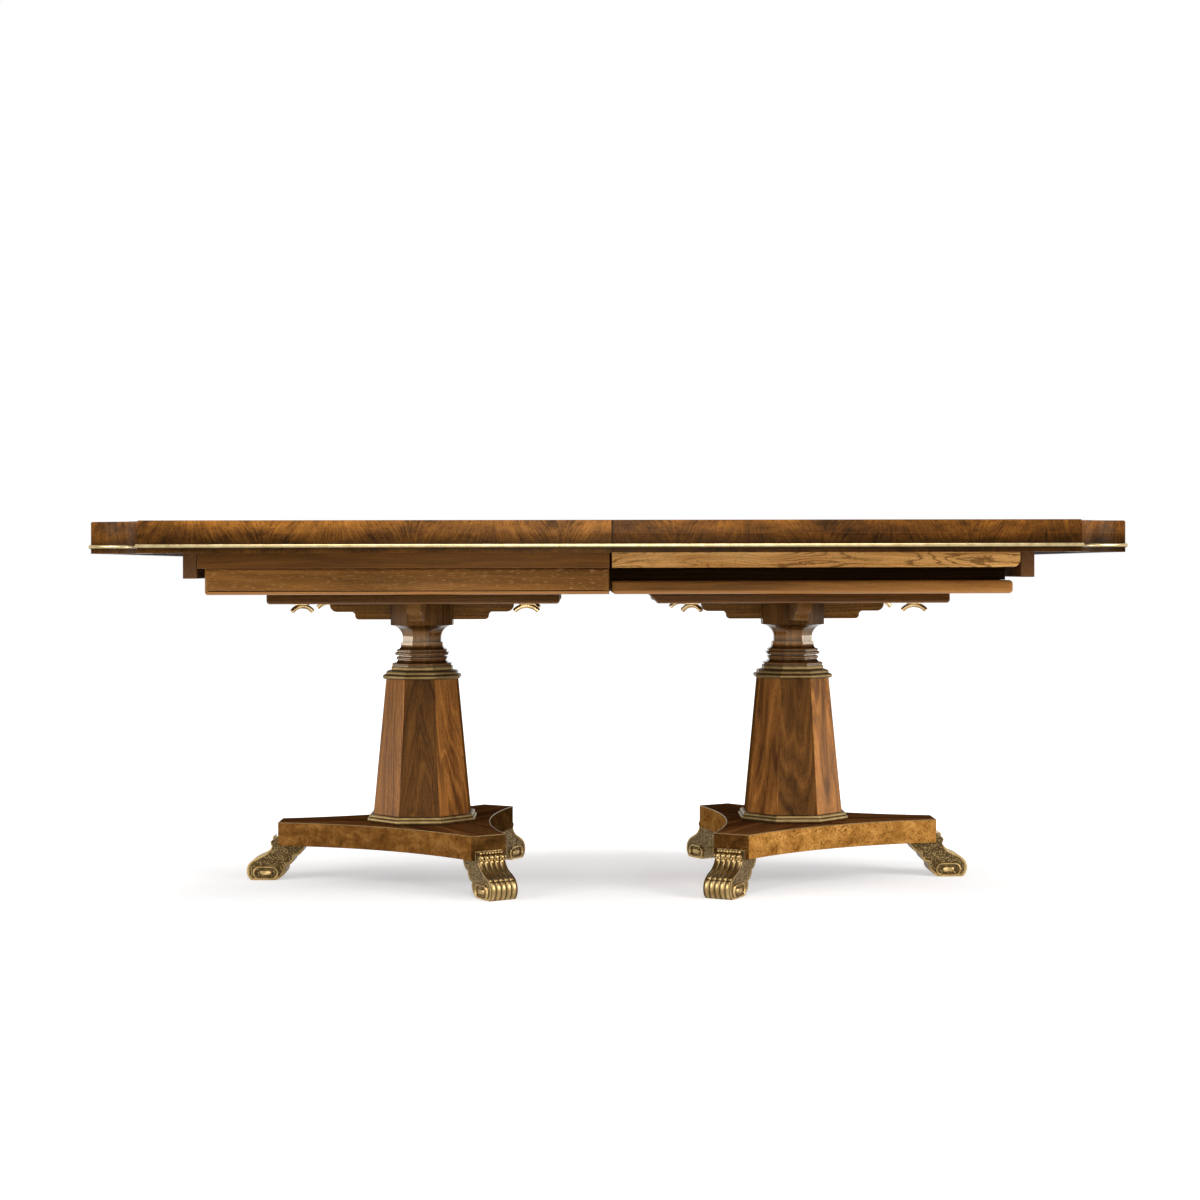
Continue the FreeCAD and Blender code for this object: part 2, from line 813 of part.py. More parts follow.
def oval(middle, length, height):
    """Flat-sided oval with round ends, anticlockwise."""
    ends, rise = length / 2 - height / 2, height / 2
    across, up = middle
    return [
        (across - ends, up - rise),
        (across + ends, up - rise, quarter_arc_share),
        (across + ends + rise, up, quarter_arc_share),
        (across + ends, up + rise),
        (across - ends, up + rise, quarter_arc_share),
        (across - ends - rise, up, quarter_arc_share),
    ]


def foot(half, name, turn):
    """Brass scroll foot: reeded down its front, with an oval volute proud of both sides of the toe."""
    body = new_body(half, name)
    across = size.foot_width / 2
    pad(body, "XZ_Plane", [foot_outline(size.reed_depth)], -across, across)
    pitch = size.foot_width / reed_count
    first = pitch / 2 - across
    reed_half = pitch * reed_width_share / 2
    reed = pad(body, "XZ_Plane", [foot_outline()], first - reed_half, first + reed_half)
    reeds = body.newObject("PartDesign::LinearPattern", "Reeds")
    reeds.Originals = [reed]
    reeds.Direction = (next(item for item in body.Origin.OriginFeatures if item.Role == "Y_Axis"), [""])
    reeds.setExpression("Length", (pitch * (reed_count - 1)).text)
    reeds.Occurrences = reed_count
    body.Tip = reeds
    middle = (size.plinth_reach + size.volute_length / 2, size.volute_rise + size.volute_height / 2)
    rim_length, rim_height = size.volute_length - size.volute_rim * 2, size.volute_height - size.volute_rim * 2
    outlines = [oval(middle, size.volute_length, size.volute_height), oval(middle, rim_length, rim_height)]
    pad(body, "XZ_Plane", outlines, -across - size.volute_proud, across + size.volute_proud)
    place(body, half, pedestal_line, turn=turn)


def primitive(kind, **sizes):
    """One Part primitive with its sizes tied to the spreadsheet."""
    piece = doc.addObject(f"Part::{kind}", kind)
    for name, length in sizes.items():
        piece.setExpression(name, length.text)
    return piece


def wing_screw(half, number, offset, aside, turn):
    """Brass wing screw: plain shank, round seat under the bearer and an arched wing bent from bar."""
    shank = primitive("Cylinder", Radius=size.shank_radius, Height=size.shank_length + size.screw_seat_thickness)
    shank.setExpression("Placement.Base.z", (-size.screw_seat_thickness).text)
    seat = primitive("Cylinder", Radius=size.screw_seat_radius, Height=size.screw_seat_thickness)
    seat.setExpression("Placement.Base.z", (-size.screw_seat_thickness).text)
    arch_centre = -size.screw_seat_thickness - size.wing_arch_radius - size.wing_bar_radius / 2
    arch = doc.addObject("PartDesign::Body", "wing")
    bar = add_sketch(arch, "YZ_Plane")
    bar.setExpression("AttachmentOffset.Base.y", arch_centre.text)
    draw(bar, [(across, up + size.wing_arch_radius) for across, up in octagon(size.wing_bar_radius)])
    bend = arch.newObject("PartDesign::Revolution", "Bend")
    bend.Profile = bar
    bend.ReferenceAxis = (bar, ["H_Axis"])
    bend.Angle = wing_sweep_degrees
    bend.Midplane = True
    whole = shank
    for piece in (seat, arch):
        joined = doc.addObject("Part::Fuse", "WingScrew")
        joined.Base, joined.Tool = whole, piece
        whole = joined
    label(whole, half, f"wing_screw_{number}")
    place(whole, half, pedestal_line + offset, cap_top, turn, aside)


def wing_screws(half):
    """Four wing screws at the ends of the bearers, each left at the turn where it came tight."""
    for number, turn in enumerate(screw_turn_degrees, start=1):
        offset = screw_spread * (1 if number % 2 else -1)
        aside = size.bearer_spread * (1 if number > 2 else -1)
        wing_screw(half, number, offset, aside, turn)


for half in HALVES:
    top_panel(half)
    for side, sign in ((half.open_side, -1), (half.closed_side, 1)):
        side_edge(half, side, sign)
        upper_rail(half, side, sign)
        bearer(half, side, sign)
    end_edge(half)
    edge_bead(half)
    end_rail(half)
    lower_rail(half)
    slide_board(half)
    inner_guide(half)
    top_guide(half)
    runner(half)
    runner_bed(half)
    brackets(half)
    cap_block(half)
    neck(half)
    ring(half, "collar", collar_shares, size.collar_half, column_top, size.collar_height, size.spigot_half)
    column(half)
    ring(half, "base_ring", base_ring_shares, size.base_ring_half, seat_top, size.base_ring_height,
         size.column_foot_half)
    plinth(half)
    for corner, turn in zip(("outer", half.closed_side, half.open_side), corner_degrees):
        foot(half, f"{corner}_foot", turn)
    wing_screws(half)

doc.recompute()
for item in doc.Objects:
    if "Invalid" in item.State or "Error" in item.State:
        raise RuntimeError(f"{item.Label} failed to build")
for cut in cuts:
    if cut.Shape.Volume >= cut.BaseFeature.Shape.Volume:
        raise RuntimeError(f"{cut.Label} cuts nothing")
for piece in parts:
    if piece.Shape.isNull() or not piece.Shape.isValid():
        raise RuntimeError(f"{piece.Label} has no valid shape")

os.makedirs("parts", exist_ok=True)
for piece in parts:
    piece.Shape.exportStep(f"parts/{piece.Label}.step")
    box = piece.Shape.BoundBox
    print(f"{piece.Label}: {len(piece.Shape.Solids)} solids, {piece.Shape.Volume / 1000:.1f} cm3, "
          f"X {box.XMin:.1f}..{box.XMax:.1f} Y {box.YMin:.1f}..{box.YMax:.1f} Z {box.ZMin:.1f}..{box.ZMax:.1f}")
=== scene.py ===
import json
import math

import bpy
import numpy as np
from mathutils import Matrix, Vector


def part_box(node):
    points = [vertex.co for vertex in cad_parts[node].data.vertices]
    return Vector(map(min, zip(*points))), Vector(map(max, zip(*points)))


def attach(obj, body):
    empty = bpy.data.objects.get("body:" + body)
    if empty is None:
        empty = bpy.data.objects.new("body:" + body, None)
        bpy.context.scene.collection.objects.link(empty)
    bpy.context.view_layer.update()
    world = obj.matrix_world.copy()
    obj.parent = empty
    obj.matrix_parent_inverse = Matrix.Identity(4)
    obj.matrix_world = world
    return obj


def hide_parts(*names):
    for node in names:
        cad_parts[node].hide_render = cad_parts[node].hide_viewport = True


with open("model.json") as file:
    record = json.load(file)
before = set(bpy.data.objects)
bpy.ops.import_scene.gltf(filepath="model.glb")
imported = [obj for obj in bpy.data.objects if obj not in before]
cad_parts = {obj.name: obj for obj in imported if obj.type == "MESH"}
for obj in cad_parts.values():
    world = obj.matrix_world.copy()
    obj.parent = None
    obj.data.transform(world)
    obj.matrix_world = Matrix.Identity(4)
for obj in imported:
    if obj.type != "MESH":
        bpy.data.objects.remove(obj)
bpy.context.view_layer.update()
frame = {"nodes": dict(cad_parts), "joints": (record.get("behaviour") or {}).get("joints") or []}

nodes = frame["nodes"]
halves = {"right": 1, "left": -1}

# Scroll feet
# Six brass castings, one screwed under each clipped corner of the two plinths. Five reeds run down the front
# from a rolled cuff to the toe, the sides are stippled, and an oval volute stands beside the toe.


def trace(corners, steps=10):
    """Closed complex outline; a corner (x, y, bulge) starts an arc that rises bulge chords to the right."""
    stretches = []
    for corner, following in zip(corners, corners[1:] + corners[:1]):
        start, end = complex(*corner[:2]), complex(*following[:2])
        bulge = corner[2] if len(corner) > 2 else 0
        if bulge == 0:
            stretches.append(np.array([start]))
            continue
        sweep = 4 * math.atan(2 * bulge)
        centre = (start + end) / 2 + 1j * (end - start) / 2 / math.tan(sweep / 2)
        turn = np.exp(1j * sweep * np.linspace(0, 1, steps, endpoint=False))
        stretches.append(centre + (start - centre) * turn)
    return np.concatenate(stretches)


def outward(outline):
    """Mitred outward normals of an anticlockwise outline: both edge normals summed, scaled to unit offset."""
    ahead = np.roll(outline, -1) - outline
    normal = -1j * ahead / np.abs(ahead)
    before = np.roll(normal, 1)
    return (before + normal) / (1 + (before * normal.conj()).real)


def tube(rings, loop=False, along=None, around=None):
    """Closed skin over rings of points, one ring a row, capped unless the last ring joins the first."""
    rows, columns = rings.shape[:2]
    row, column = np.meshgrid(np.arange(rows if loop else rows - 1), np.arange(columns), indexing="ij")
    below, above, beside = row * columns, (row + 1) % rows * columns, (column + 1) % columns
    quads = np.stack([below + column, below + beside, above + beside, above + column], -1).reshape(-1, 4)
    if along is None:
        along, around = np.arange(rows + 1.0), np.arange(columns + 1.0)
    u = along[np.stack([row, row, row + 1, row + 1], -1)]
    v = around[np.stack([column, column + 1, column + 1, column], -1)]
    uvs = np.stack([u, v], -1).reshape(-1, 2)
    faces = quads.tolist()
    slots = [0] * len(faces)
    if not loop:
        faces += [list(range(columns - 1, -1, -1)), list(range((rows - 1) * columns, rows * columns))]
        slots += [1, 1]
        uvs = np.concatenate([uvs, np.zeros((columns * 2, 2))])
    points = rings.reshape(-1, 3)
    a, b, c, d = (points[quads[:, corner]] for corner in range(4))
    volume = np.sum(a * (np.cross(b, c) + np.cross(c, d)))
    for face in faces[len(quads):]:
        fan = points[face]
        volume += np.sum(fan[0] * np.cross(fan[1:-1], fan[2:]))
    if volume < 0:
        faces = [face[::-1] for face in faces]
        cuts = np.cumsum([len(face) for face in faces])[:-1]
        uvs = np.concatenate([part[::-1] for part in np.split(uvs, cuts)])
    return {"points": points, "faces": faces, "uvs": uvs, "slots": slots, "marks": {}}


def raised(section, level, axis=2):
    """Points of flat complex sections, with their levels put in as the given axis."""
    coordinates = [section.real, section.imag]
    coordinates.insert(axis, np.broadcast_to(level, section.shape))
    return np.stack(coordinates, -1)


def turned(part, angle=0, offset=(0, 0, 0), sign=1):
    """The part turned about the upright axis and moved, and by sign -1 turned on to the other half."""
    cosine, sine = math.cos(angle), math.sin(angle)
    x, y, z = part["points"].T
    moved = np.stack([x * cosine - y * sine, x * sine + y * cosine, z], -1) + offset
    return {**part, "points": moved * (sign, sign, 1)}


def make_piece(name, parts, materials, body, replaced=(), sharp_degrees=25):
    """One object from closed parts, smooth but for edges sharper than the given angle, riding on its body."""
    mesh = bpy.data.meshes.new(name)
    starts = np.cumsum([0] + [len(part["points"]) for part in parts])
    faces = []
    for part, start in zip(parts, starts):
        faces += [[index + start for index in face] for face in part["faces"]]
    mesh.from_pydata(np.concatenate([part["points"] for part in parts]).tolist(), [], faces)
    uv_map = mesh.uv_layers.new(name="Grain")
    uv_map.data.foreach_set("uv", np.concatenate([part["uvs"] for part in parts]).ravel())
    slots = np.concatenate([part["slots"] for part in parts])
    mesh.polygons.foreach_set("material_index", np.minimum(slots, len(materials) - 1).astype(np.int32))
    for label in sorted({label for part in parts for label in part["marks"]}):
        values = [part["marks"].get(label, np.zeros(len(part["points"]))) for part in parts]
        attribute = mesh.attributes.new(label, "FLOAT", "POINT")
        attribute.data.foreach_set("value", np.concatenate(values).astype(np.float32))
    for material in materials:
        mesh.materials.append(material)
    mesh.shade_smooth()
    mesh.set_sharp_from_angle(angle=math.radians(sharp_degrees))
    piece = bpy.data.objects.new(name, mesh)
    bpy.context.scene.collection.objects.link(piece)
    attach(piece, body)
    if replaced:
        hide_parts(*replaced)


def half_piece(half, name, node, parts, materials, from_middle=0, sharp_degrees=25):
    """Piece of one half in place of its node: parts of the right half, moved out and turned to that half."""
    placed = [turned(part, offset=(from_middle, 0, 0), sign=halves[half]) for part in parts]
    replaced = [f"{half}_{node}"] if node else []
    make_piece(f"{half}_{name}", placed, materials, f"{half}_half", replaced, sharp_degrees)


def colour(red, green, blue, tone=1):
    """Linear colour, times a tone, from red, green and blue as they look on a screen, 0 to 255."""
    share = np.array([red, green, blue]) / 255
    linear = np.where(share > 0.04045, ((share + 0.055) / 1.055) ** 2.4, share / 12.92)
    return (*(linear * tone).tolist(), 1)


def colours(shades, tone=1):
    """The linear colours of several shades."""
    return [colour(*shade, tone) for shade in shades]


class Field:
    """A value that varies over a surface: the output of a shader node. Sums with + - * add nodes."""

    def __init__(self, socket):
        self.socket = socket
        self.tree = socket.id_data

    def __add__(self, other):
        return calc("ADD", self, other)

    def __sub__(self, other):
        return calc("SUBTRACT", self, other)

    def __rsub__(self, other):
        return calc("SUBTRACT", other, self)

    def __mul__(self, other):
        return calc("MULTIPLY", self, other)


def add(tree, kind, inputs, **settings):
    """One shader node of a kind with its settings, its inputs set to values or linked to fields."""
    made = tree.nodes.new(f"ShaderNode{kind}")
    for name, value in settings.items():
        setattr(made, name, value)
    for name, value in inputs.items():
        if isinstance(value, Field):
            tree.links.new(value.socket, made.inputs[name])
        else:
            made.inputs[name].default_value = value
    return made


def field(kind, inputs, output=0, tree=None, **settings):
    """One output of a new shader node, in the given tree or the one that its inputs come from."""
    if tree is None:
        tree = next(value.tree for value in inputs.values() if isinstance(value, Field))
    return Field(add(tree, kind, inputs, **settings).outputs[output])


def calc(operation, *terms):
    """The result of one sum on fields and numbers."""
    return field("Math", dict(enumerate(terms)), operation=operation)


def mapped(place, **inputs):
    """Coordinates that are scaled, turned and moved, in this order."""
    return field("Mapping", {"Vector": place, **inputs})


def remap(value, start, stop, low=0, high=1):
    """The range from start to stop carried over to low and high, and held there beyond it."""
    return field("MapRange", {"Value": value, 1: start, 2: stop, 3: low, 4: high})


def mix(share, first, second, blend="MIX"):
    """Two colours blended by a share."""
    inputs = {"Factor": share, "A": first, "B": second}
    return field("Mix", inputs, "Result", data_type="RGBA", blend_type=blend)


def ramp(factor, stops):
    """Colours blended along a factor, from (place, colour) stops."""
    made = add(factor.tree, "ValToRGB", {"Fac": factor})
    elements = made.color_ramp.elements
    for index, (place, tint) in enumerate(stops):
        element = elements[index] if index < 2 else elements.new(place)
        element.position, element.color = place, tint
    return Field(made.outputs["Color"])


def mark(place, name):
    """What is marked on the points of the mesh under a name, 0 where nothing is."""
    return field("Attribute", {}, "Fac", place.tree, attribute_name=name)


def noise(place, scale, detail=3, roughness=0.5):
    """Noise of about the given number of waves in a metre along each of the three axes."""
    inputs = {"Vector": mapped(place, Scale=scale), "Scale": 1, "Detail": detail, "Roughness": roughness}
    return field("TexNoise", inputs, "Fac")


def new_material(name):
    """Node material that is empty but for its output, and the coordinates of the object itself."""
    material = bpy.data.materials.new(name)
    material.use_nodes = True
    tree = material.node_tree
    tree.nodes.clear()
    tree.nodes.new("ShaderNodeOutputMaterial").name = "cover"
    return material, field("TexCoord", {}, "Object", tree)


def cover(shader):
    """Makes a shader the surface of its material."""
    shader.tree.links.new(shader.socket, shader.tree.nodes["cover"].inputs["Surface"])


def brass(name, shades, roughness, speck_scale, bump_strength=0.6):
    """Brass: cloudy tarnish, bright pips where stippled, darkening where marked, patina and painted shade."""
    material, place = new_material(name)
    bright, dull, patina = colours(shades)
    cloud = noise(place, (45, 45, 45), 4, 0.6)
    speck = noise(place, (speck_scale, speck_scale, speck_scale), 3, 0.6)
    metal = ramp(cloud, [(0.32, dull), (0.68, bright)])
    cells = field("TexVoronoi", {"Vector": place, "Scale": 320, "Randomness": 0.4}, "Distance")
    pip = remap(cells, 0.5, 0.28) * mark(place, "stipple")
    patina_and_shade_share = mark(place, "recess") * (speck * 0.7 + 0.62) * (1 - pip * 0.95)
    bump = {"Height": speck * 0.16 + pip, "Strength": bump_strength, "Distance": 0.0012}
    cover(field("BsdfPrincipled", {
        "Base Color": mix(patina_and_shade_share, metal, patina), "Metallic": 1, "Normal": field("Bump", bump),
        "Roughness": patina_and_shade_share * 0.3 + cloud * 0.16 + roughness,
    }))
    return material


antique_brass = brass("antique_brass", [(198, 169, 116), (150, 122, 76), (36, 25, 10)],
                      roughness=0.22, speck_scale=900)

foot_height, foot_width, foot_reach, foot_back, foot_lip = 0.075, 0.062, 0.0685, 0.0545, 0.019
plinth_reach, foot_fit = 0.3075, 0.0002
outline_spacing, rim_depth = 0.0017, 0.0016
reed_count, reed_points, reed_depth, toe_reed_share = 5, 12, 0.0032, 0.65
reed_start, reed_fade = complex(foot_reach * 0.15, 0.0015), (0.006, 0.004)
crease_spot, crease_width, crease_depth = complex(foot_reach * 0.86, foot_height * 0.53), 0.0022, 0.0018
rim_insets = np.array([rim_depth + 0.0042, rim_depth + 0.0012, 0.0006, 0])
rim_top, rim_fade, rim_least = foot_height * 1.02, 0.012, 0.12
side_patina, rear_darkening, patina_power = 0.85, 0.55, 0.65
rear_start, rear_fade = 0.002, 0.004
volute_length, volute_height, volute_rim, volute_proud, volute_rise = 0.056, 0.030, 0.005, 0.0025, 0.0008
tongue_length, tongue_height, tongue_sink, tongue_fullness = 0.026, 0.011, 0.4, 0.35
nub_radius, nub_sink, nub_spacing = 0.0032, 0.001, (foot_width - 0.002) / 9
nub_rows = [(0.0150, 0.0762, 9), (0.0125, 0.0905, 8)]
front_shares = [(0.13, 0, 0), (0.85, 0, 0.25), (0.85, 0.55, 0.0374), (0.568, 0.69, -0.082), (0.22, 0.95, 0)]
cuff_shares = [(0.20, 0.0, 0.4), (0.17, 0.62, -0.12), (0.04, 1.0, 0)]
rear_shares = [(-1.0, 1.0, 0.2), (-0.62, 0.67, 0.2), (-0.27, 0.40, 0.2), (-0.10, 0.10, 0.12)]
foot_corners = [(foot_reach * out, foot_height * up, bend) for out, up, bend in front_shares]
foot_corners += [(foot_reach * out, foot_height + foot_lip * up, bend) for out, up, bend in cuff_shares]
foot_corners += [(0, foot_height + foot_lip), (0, foot_height)]
foot_corners += [(foot_back * out, foot_height * up, bend) for out, up, bend in rear_shares]


def resampled(outline, spacing):
    """The same closed outline with points at an even spacing, its corners kept to within half a step."""
    closed = np.append(outline, outline[0])
    run = np.append(0, np.cumsum(np.abs(np.diff(closed))))
    even = np.linspace(0, run[-1], int(run[-1] / spacing), endpoint=False)
    nearest = np.abs(even[:, None] - run[None, :-1]).argmin(0)
    even[nearest] = run[:-1]
    return np.interp(even, run, closed.real) + 1j * np.interp(even, run, closed.imag)


def oval(length, height, steps=40):
    """Flat-sided oval with round ends, as complex numbers about its middle."""
    half_turn = np.linspace(-math.pi / 2, math.pi / 2, steps // 2)
    end = (length - height) / 2 + height / 2 * np.exp(1j * half_turn)
    return np.concatenate([end, -end])


def foot_body():
    """Casting: a side outline carried across the width, drawn in between reeds and at both sides to a rim."""
    outline = resampled(trace(foot_corners, 16), outline_spacing)
    normal = outward(outline)
    past_start = outline - reed_start
    front = np.clip(past_start.real / reed_fade[0], 0, 1) * np.clip(past_start.imag / reed_fade[1], 0, 1)
    share = np.linspace(0, 1, reed_count * reed_points + 1)
    across = (share - 0.5) * (foot_width - 2 * rim_depth)
    valley = 1 - np.sqrt(np.clip(1 - (share * reed_count % 1 * 2 - 1) ** 2, 0, 1))
    crease = crease_depth * np.exp(-(np.abs(outline - crease_spot) / crease_width) ** 2)
    fullness = np.where(outline.imag < foot_height / 2, toe_reed_share, 1)
    depth = valley[:, None] * reed_depth * fullness + crease
    sunk = outline - normal * front * depth
    room = np.clip((rim_top - outline.imag) / rim_fade, rim_least, 1)
    sides = outline - normal * room * rim_insets[:, None]
    side_places = foot_width / 2 - rim_depth * np.array([1, 0, 0, 0.5])
    section = np.concatenate([sides, sunk, sides[::-1]])
    place = np.concatenate([-side_places, across, side_places[::-1]])
    part = tube(raised(section, place[:, None], axis=1))
    side_recess = np.array([side_patina, 0, 0, 0])
    recess = np.concatenate([side_recess, valley, side_recess[::-1]])[:, None] ** patina_power
    # The back of the casting, under the plinth, is darkened.
    rear = np.clip((-outline.real - rear_start) / rear_fade, 0, rear_darkening)
    part["marks"]["recess"] = np.maximum(recess, rear).ravel()
    stipple = np.zeros(section.shape)
    stipple[[0, -1]] = 1
    part["marks"]["stipple"] = stipple.ravel()
    return part


def volute(side):
    """Raised oval ring, an ellipse carried round an oval, and the domed tongue inside it."""
    middle = complex(volute_length / 2 - foot_fit, volute_rise + volute_height / 2)
    path = oval(volute_length - volute_rim, volute_height - volute_rim, 56)
    turn = np.linspace(0, math.tau, 16, endpoint=False)
    base, rise = foot_width / 2 - rim_depth, volute_proud + rim_depth
    section = path[:, None] + outward(path)[:, None] * volute_rim / 2 * np.cos(turn) + middle
    level = base + rise * np.sin(turn)
    dome = np.linspace(0, math.pi / 2, 6)[:-1]
    drawn_in = np.append(1, np.cos(dome) ** tongue_fullness)[:, None]
    boss = middle + oval(tongue_length, tongue_height) * drawn_in
    boss_level = base + rise * np.append(-tongue_sink, np.sin(dome))[:, None]
    ring = tube(raised(section, level * side, axis=1), loop=True)
    return [ring, tube(raised(boss, boss_level * side, axis=1))]


def nubs():
    """Rows of small half balls across the cuff: circles drawn in as they stand out from its face."""
    rise = np.linspace(0, math.pi / 2, 5)[:-1, None]
    flat = nub_radius * np.cos(rise) * np.exp(1j * np.linspace(0, math.tau, 10, endpoint=False))
    ball = raised(flat, nub_radius * np.sin(rise) - nub_sink, axis=0)
    places = []
    for reach, level, count in nub_rows:
        aside = (np.arange(count) - (count - 1) / 2) * nub_spacing
        places += [(reach, step, level) for step in aside]
    return [tube(ball + np.array(place)) for place in places]


foot_parts = [foot_body(), *volute(1), *volute(-1), *nubs()]
pedestal_x = sum(corner[0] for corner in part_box("right_cap_block")) / 2
corner_angles = (0, math.tau / 3, math.tau * 2 / 3)
for half in halves:
    corners = ("outer", "back", "front") if half == "right" else ("outer", "front", "back")
    for corner, angle in zip(corners, corner_angles):
        offset = ((plinth_reach + foot_fit) * math.cos(angle), (plinth_reach + foot_fit) * math.sin(angle), 0)
        parts = [turned(part, angle, offset) for part in foot_parts]
        half_piece(half, f"{corner}_foot_casting", f"{corner}_foot", parts, [antique_brass],
                   pedestal_x)

# Plinths
# Two three-cornered plinths with hollowed sides and clipped corners, in softwood veneered with burr, darker
# on the corners; the left one's inner side takes the dark corner veneer as painted shade. On top are three
# leaves of dark walnut, with a thin brass line let in along the upper edge.


def slab(outline, start, stop, rim, axis=2):
    """Board with an outline, from start to stop along an axis; insetting the outline rounds its rims."""
    bend = np.linspace(0, math.pi / 2, 4)
    inset = np.concatenate([1 - np.sin(bend), 1 - np.sin(bend[::-1])]) * rim
    level = np.concatenate([start + rim * (1 - np.cos(bend)), stop - rim * (1 - np.cos(bend[::-1]))])
    normal = outward(outline)
    section = outline - normal * inset[:, None]
    run = np.append(0, np.cumsum(np.abs(np.diff(np.append(outline, outline[0])))))
    part = tube(raised(section, level[:, None], axis), along=np.append(level, 0), around=run)
    # Rims that round downwards are marked to be paler: a painted reflection of the floor on the lower edges.
    down = np.clip(-normal.imag, 0, 1) if axis < 2 else np.zeros(len(outline))
    rim_floor_sheen = np.array([0.2, 1, 1, 0.6, 0.6, 1, 1, 0.2])
    part["marks"]["wear"] = (rim_floor_sheen[:, None] * down).ravel()
    return part


def octagon(half_width, ease=0.0006):
    """Octagon with a flat towards each side and its corners cut back a little, as complex numbers."""
    corner = half_width / math.cos(math.pi / 8) * np.exp(1j * (np.arange(8) + 0.5) * math.pi / 4)
    along = np.roll(corner, -1) - corner
    along = along / np.abs(along)
    return np.stack([corner - np.roll(along, 1) * ease, corner + along * ease], -1).ravel()


def vector(operation, *terms, **inputs):
    """The result of one sum on vectors; a length is a plain number."""
    output = "Value" if operation == "LENGTH" else 0
    return field("VectorMath", {**dict(enumerate(terms)), **inputs}, output, operation=operation)


def grain(board, light, dark, pore_tint, rings_per_metre=150, warp=0.02, ring_share=0.4, pores=(150, 600)):
    """Colour, height and fibre of wood whose growth rings lie round the board's X axis.

    Rings follow the distance from that axis, bent by slow noise; fibres, patches and pores run along it."""
    slow = {"Vector": mapped(board, Scale=(1.6, 9, 9)), "Scale": 1, "Detail": 2.5}
    drift = vector("SUBTRACT", field("TexNoise", slow, "Color"), (0.5, 0.5, 0.5))
    bent = vector("ADD", board, vector("MULTIPLY", drift, (0, warp * 2, warp * 2)))
    radius = vector("LENGTH", vector("MULTIPLY", bent, (0, 1, 1)))
    growth = {"W": radius, "Scale": rings_per_metre, "Detail": 3, "Roughness": 0.6}
    rings = field("TexNoise", growth, "Fac", noise_dimensions="1D")
    fibre = noise(bent, (9, 420, 420), 4, 0.65)
    patch = noise(bent, (1.7, 13, 13), 3, 0.55)
    pore = noise(board, (pores[0], pores[1], pores[1]), 2, 0.5)
    figure = rings * ring_share + fibre * 0.28 + patch * (0.72 - ring_share)
    middle = tuple(one * 0.42 + other * 0.58 for one, other in zip(light, dark))
    tone = ramp(figure, [(0.39, dark), (0.5, middle), (0.62, light)])
    open_pore = ramp(pore, [(0.32, (0.6, 0.6, 0.6, 1)), (0.42, (0, 0, 0, 1))])
    return mix(open_pore, tone, pore_tint), pore * 0.5 + fibre * 0.5, fibre


def lacquer(tint, height, gloss, roughness, bump_strength=0.12, sheen=0.2):
    """Wood rubbed down with thin lacquer: a weak sheen whose roughness follows the fibres."""
    bump = {"Height": height, "Strength": bump_strength, "Distance": 0.0006}
    cover(field("BsdfPrincipled", {
        "Base Color": tint, "Roughness": gloss * 0.16 + (roughness - 0.06), "Specular IOR Level": sheen,
        "Specular Tint": (1, 0.83, 0.58, 1), "Normal": field("Bump", bump),
    }))


def walnut(name, shades, leaf, turn=(0, 0, 0), use_uv=False, roughness=0.3, sheen=0.2, tone=1, **figure):
    """Lacquered walnut; the turn brings the grain along X, and leaf picks the board it was cut from."""
    material, place = new_material(name)
    light, dark, pore_tint = colours(shades, tone)
    if use_uv:
        place = field("UVMap", {}, 0, place.tree, uv_map="Grain")
    board = mapped(place, Location=leaf, Rotation=turn)
    tint, height, fibre = grain(board, light, dark, pore_tint, **figure)
    # Marked wear and painted sheen make it paler; marked patina and painted shade darken it to the pore
    # colour.
    wear = mark(place, "wear") * (fibre * 0.5 + 0.5)
    pale = tuple(min(part * 1.25 + 0.03, 1) for part in light[:3]) + (1,)
    darkened = mix(mark(place, "recess"), mix(wear, tint, pale), pore_tint)
    lacquer(darkened, height, fibre, roughness, sheen=sheen)
    return material


def burr(name, shades, specks, leaf):
    """Burr veneer: clouds folded by other clouds, small eyes and a scatter of dark specks."""
    material, place = new_material(name)
    light, middle, dark = colours(shades)
    sheet = mapped(place, Location=leaf)
    fold = field("TexNoise", {"Vector": sheet, "Scale": 16, "Detail": 3}, "Color")
    warped = vector("ADD", sheet, vector("SCALE", fold, Scale=0.06))
    cloud = noise(warped, (26, 26, 40), 5, 0.6)
    curl = noise(warped, (190, 190, 240), 4, 0.6)
    eyes = field("TexVoronoi", {"Vector": warped, "Scale": 85}, "Distance")
    figure = cloud * 0.68 + curl * 0.32 + eyes * 0.1
    tone = ramp(figure, [(0.36, dark), (0.54, middle), (0.72, light)])
    fleck = noise(warped, (330, 330, 330), 2, 0.5)
    dark_fleck = ramp(fleck, [(specks, (0.24, 0.17, 0.1, 1)), (specks + 0.07, (1, 1, 1, 1))])
    tint = mix(0.85, tone, dark_fleck, "MULTIPLY")
    lacquer(tint, curl, curl, roughness=0.4, bump_strength=0.06, sheen=0)
    return material


side_burrs = {
    "left": ([(148, 103, 52), (112, 73, 31), (76, 47, 18)], 0.3, (0.3, 1.7, 0.2)),
    "right": ([(200, 147, 78), (164, 114, 53), (122, 78, 31)], 0.37, (2.1, 0.4, 1.3)),
}
clip_burrs = {
    "left": ([(98, 66, 30), (70, 45, 18), (44, 27, 10)], 0.3, (0.3, 1.7, 0.2)),
    "right": ([(110, 74, 34), (78, 49, 19), (44, 26, 9)], 0.34, (0.9, 1.1, 0.7)),
}
# The top leaves have no specular; their tones are raised to stand in for a sheen, a painted sheen.
plinth_veneer = walnut("plinth_top_veneer", [(122, 78, 40), (62, 36, 17), (34, 19, 8)], (0.2, 0.05, 0.1),
                       use_uv=True, roughness=0.4, sheen=0)
moulding_brass = brass("moulding_brass", [(172, 146, 100), (132, 107, 66), (62, 46, 22)],
                       roughness=0.2, speck_scale=1400, bump_strength=0.12)

